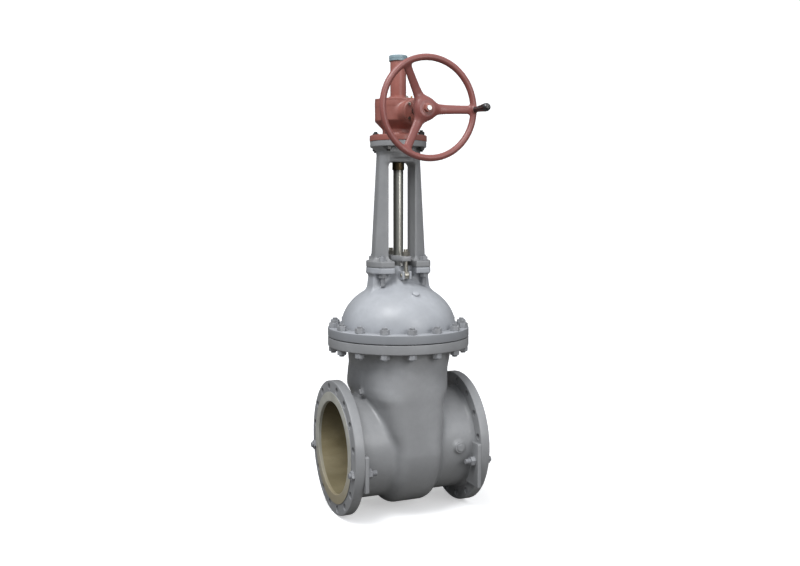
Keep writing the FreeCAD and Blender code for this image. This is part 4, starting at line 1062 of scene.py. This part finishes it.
def make_tube_and_cap():
    top = 1676
    tube = lathe("stem_tube", [(27.7, 1499), (TUBE_RADIUS, 1499, 0.5), (TUBE_RADIUS, top, 0.5),
                               (27.7, top)])
    dress(tube, "red_paint", "stem_cover_tube")
    hole = TUBE_RADIUS + 0.05
    profile = [(0, 1676.05), (hole, 1676.05), (hole, 1662.0), (CAP_RADIUS, 1662.0, 1),
               (CAP_RADIUS, 1671, 0), (CAP_RADIUS - 0.8, 1672, 0), (CAP_RADIUS, 1673, 0),
               (CAP_RADIUS, 1686, 3.5), (0, 1686)]
    dress(lathe("tube_end_cap", profile), "teal_plastic", "tube_cap")


def make_bearing_cap():
    profile = [(25, 166), (30.9, 166), (30.9, 175.02), (52, 175.02, 0.6), (52, 184, 2),
               (47, 187, 1.5), (22, 187, 1), (21, 185), (17, 185), (17, 180), (25, 180)]
    cap = lathe("input_bearing_cap", profile, INPUT_ORIGIN, FRONT)
    cut(cap, *[cutter(4.2, 170, 192, (px, 0, INPUT_Z + pz), FRONT, 24)
               for px, pz in bolt_circle(41.5, 4, 45)])
    dress(cap, "red_paint", "bearing_cap", sharp=34)


make_gearbox()
make_lid()
make_tube_and_cap()
make_bearing_cap()

# ---------------------------------------------------------------- handwheel
# The wheel is built lying down, its axis along Z, and turned to face -Y afterwards.
RIM_RADIUS, RIM_Z, RIM_THICKNESS = 199, 320, 13.2
WHEEL_HUB = [(0, 258), (32, 258), (41, 263), (47, 272.5), (47, 289.5), (41, 298), (33.5, 303),
             (0, 303)]
# spoke stations along the radius: middle height; then half width and half thickness
SPOKE_REACH = [0, 38, 64, 90, 120, 150, 175, 199]
SPOKE_Z = [279, 281, 284.5, 290, 297.6, 305.8, 313, 319]
SECTION_REACH = [0, 38, 90, 150, 199]
SPOKE_HALF_WIDTH = [25, 23, 18.5, 17, 17]
SPOKE_HALF_THICKNESS = [12, 12, 10, 9.5, 8.5]


def wheel_field(x, y, z):
    r = np.sqrt(x * x + y * y)
    rim = np.sqrt((r - RIM_RADIUS) ** 2 + (z - RIM_Z) ** 2) - RIM_THICKNESS
    spokes = None
    for k in range(3):
        angle = math.radians(120 * k)
        u = x * math.cos(angle) + y * math.sin(angle)
        v = -x * math.sin(angle) + y * math.cos(angle)
        middle = np.interp(u, SPOKE_REACH, SPOKE_Z)
        half_width = np.interp(u, SECTION_REACH, SPOKE_HALF_WIDTH)
        half_thickness = np.interp(u, SECTION_REACH, SPOKE_HALF_THICKNESS)
        spoke = superellipse(v, z - middle, half_width, half_thickness, 2.2)
        spoke = meet(spoke, np.maximum(4 - u, u - RIM_RADIUS), 3)
        spokes = spoke if spokes is None else blend(spokes, spoke, 16)
    hub = polygon_field(r, z, WHEEL_HUB) - 1.0
    solid = blend(rim, blend(hub, spokes, 22), 13)
    # boss for the crank grip
    q = np.sqrt((x - CRANK_X) ** 2 + y * y)
    return blend(solid, round_edge(q - 13, np.abs(z - 319) - 16, 1.5), 7)


def turn_to_front(obj):
    mesh = obj.data
    co = np.empty(len(mesh.vertices) * 3)
    mesh.vertices.foreach_get("co", co)
    co = co.reshape(-1, 3) / MM
    co = np.stack([co[:, 0], -co[:, 2], INPUT_Z + co[:, 1]], 1)
    mesh.vertices.foreach_set("co", (co * MM).ravel())
    mesh.update()
    face_outward(obj)


def make_wheel():
    step = 2.0
    wheel = field_mesh("handwheel_casting", wheel_field, (-216, -216, 254), (216, 216, 338), step)
    cut(wheel, cutter(14.02, 245, 325, lips=((304, 1.2),)))
    # pin hole in the crank boss, with a pocket for its nut
    cut(wheel, cutter(6.05, 285, 345, (CRANK_X, 0, 0), segs=24))
    cut(wheel, cutter(12.2, 286, 303, (CRANK_X, 0, 0), segs=32))
    keyway = new_mesh("keyway", [(x, y, z) for x in (-4.02, 4.02) for y in (10, 18.02)
                                 for z in (240, 325)],
                      [(0, 1, 3, 2), (4, 6, 7, 5), (0, 4, 5, 1), (2, 3, 7, 6), (0, 2, 6, 4),
                       (1, 5, 7, 3)], smooth=False)
    face_outward(keyway)
    cut(wheel, keyway)
    turn_to_front(wheel)
    dress(wheel, "wheel_red_paint", "handwheel", "input_shaft", sharp=36)


def make_wheel_fasteners():
    nut = group("wheel_nut", [hex_nut(30, 307.6, 323, 10.05, INPUT_ORIGIN, FRONT, turn=0.2)])
    dress(nut, "red_paint", "handwheel_nut", "input_shaft")
    washer = [(10.2, 304.02), (22, 304.02, 0.4), (22, 307.5, 0.6), (10.2, 307.5)]
    dress(lathe("wheel_washer", washer, INPUT_ORIGIN, FRONT, 64),
          "red_paint", "handwheel_washer", "input_shaft")


def make_grip():
    pin = [(0, 292, 0), (5, 292), (6, 293), (6, 441.02), (10, 441.02, 0.4), (10, 444),
           (8.4, 446.4), (6, 447), (2.2, 447), (1.6, 445.2), (0, 445.2)]
    dress(lathe("grip_pin", pin, CRANK_ORIGIN, FRONT, 48),
          "dark_fasteners", "grip_bolt", "input_shaft")
    nut = group("grip_pin_nut", [hex_nut(19, 294.02, 302.98, 6.05, CRANK_ORIGIN, FRONT, turn=0.1)])
    dress(nut, "plated_fasteners", "grip_nut", "input_shaft")
    grip = [(6.05, 335.1), (10, 335.1, 0.8), (12, 338, 1), (11.9, 341), (11.0, 344, 2),
            (11, 352, 14), (13.5, 385, 60), (16.5, 418, 12), (16.6, 430, 5), (14, 437.6, 3),
            (11, 440.9, 1), (6.05, 440.9)]
    dress(lathe("turning_grip", grip, CRANK_ORIGIN, FRONT, 64, sharp=40),
          "black_plastic", "crank_grip", "grip")


make_wheel()
make_wheel_fasteners()
make_grip()


# ---------------------------------------------------------------- studs and nuts of the joints
def stud_joint(name, node, material, spots, radius, span, grip, bite, pitch, flats, nut_height,
               seed, uneven=(0, 0)):
    """Upright studs from span[0] to span[1] that clamp the faces at grip[0] and grip[1].

    The threads run bite millimetres past the faces; the stud ends differ by up to uneven.
    """
    studs, uppers, lowers = [], [], []
    hole = radius + 0.05
    for k, (px, py) in enumerate(spots):
        spot = (px, py, 0)
        low, high = span[0] + uneven[0] * scatter(k), span[1] + uneven[1] * scatter(k, 2)
        threads = [(low, grip[0] + bite), (grip[1] - bite, high)]
        studs.append(threaded_rod(radius, low, high, threads, pitch, spot, UP, 20))
        uppers.append(hex_nut(flats, grip[1] + 0.02, grip[1] + nut_height, hole, spot, UP,
                              scatter(k, seed) * 6.28, 36))
        lowers.append(hex_nut(flats, grip[0] - nut_height, grip[0] - 0.02, hole, spot, UP,
                              scatter(k, seed + 1) * 6.28, 36))
    dress(group(name + "_studs", studs), material, node + "_studs")
    dress(group(name + "_nuts_upper", uppers), material, node + "_nuts_top")
    dress(group(name + "_nuts_lower", lowers), material, node + "_nuts_bottom")


def stud_corners(dx, dy):
    return [(dx * sx, dy * sy) for sy in (-1, 1) for sx in (-1, 1)]


stud_joint("joint", "bonnet", "painted_fasteners", bolt_circle(*JOINT_CIRCLE), radius=12,
           span=(405.6, 544.2), grip=(BODY_TOP_LOW, BONNET_FLANGE_TOP), bite=2, pitch=3.0,
           flats=36, nut_height=21.5, seed=3, uneven=(1.2, 1.6))
stud_joint("leg", "yoke", "painted_fasteners", stud_corners(EAR_X, EAR_Y), radius=10,
           span=(698.4, 831.6), grip=(EAR_BOTTOM, EAR_TOP), bite=4, pitch=2.5,
           flats=30, nut_height=18, seed=5)
stud_joint("drive", "gearbox", "dark_fasteners", stud_corners(DRIVE_XY, DRIVE_XY), radius=8,
           span=(1274.4, 1365.6), grip=(YOKE_FLANGE_BOTTOM, GEARBOX_FLANGE_TOP), bite=2, pitch=2.0,
           flats=24, nut_height=14, seed=7)


def make_plate_studs():
    studs, nuts = [], []
    for i, sx in enumerate((-1, 1)):
        for j, sy in enumerate((-1, 1)):
            spot, axis = (0, PLATE_STUD_Y * sy, PLATE_STUD_Z), (sx, 0, 0)
            threads = [(204.4, 250), (294, 325.6)]
            studs.append(threaded_rod(12, 204.4, 325.6, threads, 3.0, spot, axis, 20))
            nuts.append(hex_nut(36, 296.02, 317.5, 12.05, spot, axis, 0.3 + scatter(i, j), 36))
            nuts.append(hex_nut(36, 226.5, 247.98, 12.05, spot, axis, 0.9 + scatter(i, j + 3), 36))
    dress(group("plate_studs", studs), "painted_fasteners", "bracket_studs")
    dress(group("plate_nuts", nuts), "painted_fasteners", "bracket_nuts")


make_plate_studs()

# ---------------------------------------------------------------- gland
# (x, y, fillet) corners of the oval gland flange
GLAND_OVAL = [(46, -20, 20), (46, 20, 20), (34, 52, 30), (20, 100, 12), (-20, 100, 12),
              (-34, 52, 30), (-46, 20, 20), (-46, -20, 20), (-34, -52, 30), (-20, -100, 12),
              (20, -100, 12), (34, -52, 30)]
GLAND_TOP = 828


def make_gland_flange():
    gland = slab("gland_oval", rounded(GLAND_OVAL, arc=6), 806.02, GLAND_TOP, chamfer=2.0)
    cut(gland, cutter(25, 800, 840, segs=64, lips=((GLAND_TOP, 1.5),)),
        cutter(11, 800, 840, (0, GLAND_BOLT_Y, 0), segs=32),
        cutter(11, 800, 840, (0, -GLAND_BOLT_Y, 0), segs=32))
    dress(gland, "grey_paint", "gland_flange", sharp=34)


def make_gland_bolts():
    across = (1, 0, 0)
    hinges = [(0, GLAND_BOLT_Y * s, GLAND_HINGE_Z) for s in (-1, 1)]
    bolts = []
    for hinge in hinges:
        eye = lathe("eye", [(0, -10), (16, -10, 2), (16, 10, 2), (0, 10)], hinge, across, 40)
        rod = threaded_rod(10, 4, 112.6, [(70, 112.6)], 2.5, hinge, UP)
        add(eye, group("shank", [rod]))
        bolts.append(cut(eye, cutter(8.1, -14, 14, hinge, across, 32)))
    dress(joined(bolts, "gland_eye_bolts"), "plated_fasteners", "gland_swing_bolts", sharp=30)
    pin = [(0, -24), (8, -24, 1.2), (8, 24, 1.2), (0, 24)]
    pins = joined([lathe("pin", pin, hinge, across, 40) for hinge in hinges], "gland_pins")
    dress(pins, "plated_fasteners", "gland_hinge_pins", sharp=30)
    nuts = [hex_nut(30, 828.02, 847, 10.05, (0, GLAND_BOLT_Y * s, 0), UP, 0.5 + s, 36)
            for s in (-1, 1)]
    dress(group("gland_bolt_nuts", nuts), "plated_fasteners", "gland_nuts")


make_gland_flange()
make_gland_bolts()


# ---------------------------------------------------------------- plates behind the end flanges
def make_plates():
    hub_radius, edge_y, top_z = 239.0, 290, 27
    plates = []
    for side, foot_z in ((-1, -125.0), (1, -165.0)):
        for s in (-1, 1):
            angles = np.linspace(math.asin(foot_z / hub_radius), math.asin(top_z / hub_radius), 24)
            arc = [(hub_radius * math.cos(t), hub_radius * math.sin(t)) for t in angles]
            outline = rounded(arc + [(edge_y, top_z, 5), (edge_y, foot_z, 5)])[::-1]

            def stand_up(v):
                return np.stack([side * v[:, 2], s * v[:, 0], v[:, 1]], 1)

            plate = slab("plate", outline, 248.0, 263.98, chamfer=1.2, transform=stand_up)
            stud = (0, PLATE_STUD_Y * s, PLATE_STUD_Z)
            plates.append(cut(plate, cutter(13, 240, 270, stud, (side, 0, 0), 36)))
    dress(joined(plates, "flange_plates"), "grey_paint", "flange_brackets", sharp=34)


make_plates()


# ---------------------------------------------------------------- plugs
def hex_plug(name, flats, height, radius, depth, origin, axis, turn):
    """Hexagon head with a round shank below it."""
    head = group(name, [hex_nut(flats, 0.02, height, 0, origin, axis, turn, 36, both=False)])
    shank = [(0, -depth), (radius, -depth, 1), (radius, 3), (0, 3)]
    return add(head, lathe("shank", shank, origin, axis, 32))


def make_plugs():
    stubs = [hex_plug("plug", flats=27, height=6.0, radius=9.9, depth=16,
                      origin=(STUB_X * s, -STUB_Y * s, STUB_Z), axis=(0, -s, 0), turn=0.4)
             for s in (-1, 1)]
    dress(joined(stubs, "stub_hex_plugs"), "grey_paint", "stub_plugs", sharp=30)
    neck = hex_plug("neck_hex_plug", flats=22, height=9.0, radius=8.9, depth=15,
                    origin=NECK_PLUG, axis=LEFT, turn=0.2)
    dress(neck, "grey_paint", "neck_plug", sharp=30)
    dome = [(0, -14), (9.9, -14, 1), (9.9, 2.0), (16, 2.0, 0.6), (16, 8, 3), (12, 11.6, 6), (0, 12)]
    dress(lathe("dome_round_plug", dome, DOME_PLUG, DOME_PLUG_AXIS, 56),
          "light_grey_paint", "dome_plug")


make_plugs()

# ---------------------------------------------------------------- stem with its running thread
# (z, r) outline of the lower end, for a stem that starts at z = 210
STEM_START = 210
STEM_FOOT = [(210, 34.5), (211.5, 36), (234.5, 36), (236, 34.5), (236.01, 22), (262, 22),
             (262.01, 29), (263, 30), (271, 30), (272, 29.5), (280, 22)]
STEM_RADIUS, STEM_END_RADIUS = 22, 19
STEM_THREAD_START, STEM_PITCH, STEM_THREAD_DEPTH = 806, 8.0, 3.6


def stem_mesh():
    segs = 56
    lift = STEM_LOW[2] - float(STEM_START)
    top = STEM_HIGH[2] - lift
    levels = [z for z, r in STEM_FOOT] + [500.0, 700.0, 805.0]
    levels += list(np.arange(float(STEM_THREAD_START), top - 6, STEM_PITCH / 8))
    levels += [top - 5.9, top - 3, top]
    levels = sorted(set(np.round(levels, 3)))
    outline_z = [z for z, r in STEM_FOOT] + [top - 3, top]
    outline_r = [r for z, r in STEM_FOOT] + [STEM_RADIUS, STEM_END_RADIUS]
    t = np.arange(segs) * 2 * math.pi / segs
    verts = []
    for z in levels:
        base = np.interp(z, outline_z, outline_r)
        r = np.full(segs, base)
        if STEM_THREAD_START <= z <= top - 4:
            phase = ((z / STEM_PITCH) - t / (2 * math.pi)) % 1.0
            # trapezoid section: crest, flank, root, flank
            groove = np.interp(phase, [0, 0.30, 0.46, 0.80, 0.96, 1.0], [0, 0, 1, 1, 0, 0])
            fade = min(1.0, (z - STEM_THREAD_START) / 5.0, (top - 4 - z) / 3.0 + 0.2)
            r = base - STEM_THREAD_DEPTH * groove * max(0.0, fade)
        verts.append(np.stack([r * np.cos(t), r * np.sin(t), np.full(segs, z + lift)], 1))
    faces = wall_faces(len(levels), segs) + end_faces(len(levels), segs)
    return np.vstack(verts), faces


dress(group("stem_spindle", [stem_mesh()], sharp=32), "bright_steel", "stem", "stem_wedge")


# ---------------------------------------------------------------- floor, light, camera
def make_floor():
    """Floor that curves up into a wall behind the valve, square to the view."""
    flat_end, curve_radius, wall_end, half_width = 2.6, 1.6, (4.2, 6.0), 7.0
    profile = [(t, 0.0) for t in np.linspace(-5.0, flat_end, 12)]
    for k in range(1, 25):
        angle = math.radians(90.0 * k / 24)
        profile.append((flat_end + curve_radius * math.sin(angle),
                        curve_radius * (1 - math.cos(angle))))
    profile.append(wall_end)
    forward = Vector((0.3853, 0.9188, 0)).normalized()
    side = Vector((forward.y, -forward.x, 0))
    floor_z = BODY_LOW[2] - 0.3
    verts = []
    for s in (-half_width, half_width):
        for u, height in profile:
            p = forward * u + side * s
            verts.append((p.x / MM, p.y / MM, floor_z + height / MM))
    count = len(profile)
    faces = [(i, i + 1, count + i + 1, count + i) for i in range(count - 1)]
    floor = new_mesh("studio_floor", verts, faces)

    # bright to the camera, but darker as a bounce surface
    s = Shader("studio_white")
    drift = s.noise(scale=1.2, detail=3.0, rough=0.5)
    camera_ray = s.camera_ray()
    pale = s.mix(drift, (0.90, 0.90, 0.90, 1), (0.935, 0.935, 0.935, 1))
    s.set("Base Color", s.mix(camera_ray, (0.16, 0.155, 0.145, 1), pale))
    s.set("Emission Color", s.mix(camera_ray, grey(0.0), grey(0.42)))
    s.set("Emission Strength", 1.0)
    s.set("Roughness", 0.85)
    s.set("Specular IOR Level", 0.1)
    floor.data.materials.append(s.material)


def area_light(name, location, target, size, power, color=(1, 1, 1)):
    light = bpy.data.lights.new(name, "AREA")
    light.energy = power
    light.color = color
    light.shape = "RECTANGLE"
    light.size = size
    light.size_y = size
    obj = new_object(name, light)
    obj.location = location
    direction = Vector(target) - Vector(location)
    obj.rotation_euler = direction.to_track_quat("-Z", "Y").to_euler()


def make_world():
    """Sky that brightens upward, plain white to the camera."""
    world = bpy.data.worlds.new("studio")
    bpy.context.scene.world = world
    world.use_nodes = True
    w = Nodes(world.node_tree)
    background = w.tree.nodes["Background"]
    up = w.separate(w.new("TexCoord").outputs["Generated"])[2]
    height = w.times(w.math("ADD", up, 1.0), by=0.5)
    sky = w.ramp(height, (0.30, grey(0.03)), (0.50, (0.24, 0.245, 0.25, 1)),
                 (0.72, (0.86, 0.90, 0.98, 1)), (1.0, (1.0, 1.0, 1.0, 1)))
    w.feed(background.inputs[0], w.mix(w.camera_ray(), sky, grey(1.0)))
    background.inputs[1].default_value = 1.0


def make_camera():
    camera = bpy.data.cameras.new("camera")
    camera.lens = 39.2
    camera.sensor_width = 36
    obj = new_object("camera", camera)
    obj.location = (-1.4693, -3.5237, 1.0323)
    view = Vector((0.3853, 0.9188, -0.0854))
    obj.rotation_euler = view.to_track_quat("-Z", "Y").to_euler()
    bpy.context.scene.camera = obj


make_floor()
area_light("key", location=(-2.4, -2.2, 5.2), target=(0, 0, 0.6), size=2.6, power=238,
           color=(0.97, 0.985, 1.0))
area_light("front", location=(1.2, -5.2, 2.2), target=(0, 0, 0.5), size=2.2, power=84)
make_world()
bpy.context.scene.view_settings.view_transform = "Standard"
make_camera()

bpy.context.view_layer.update()
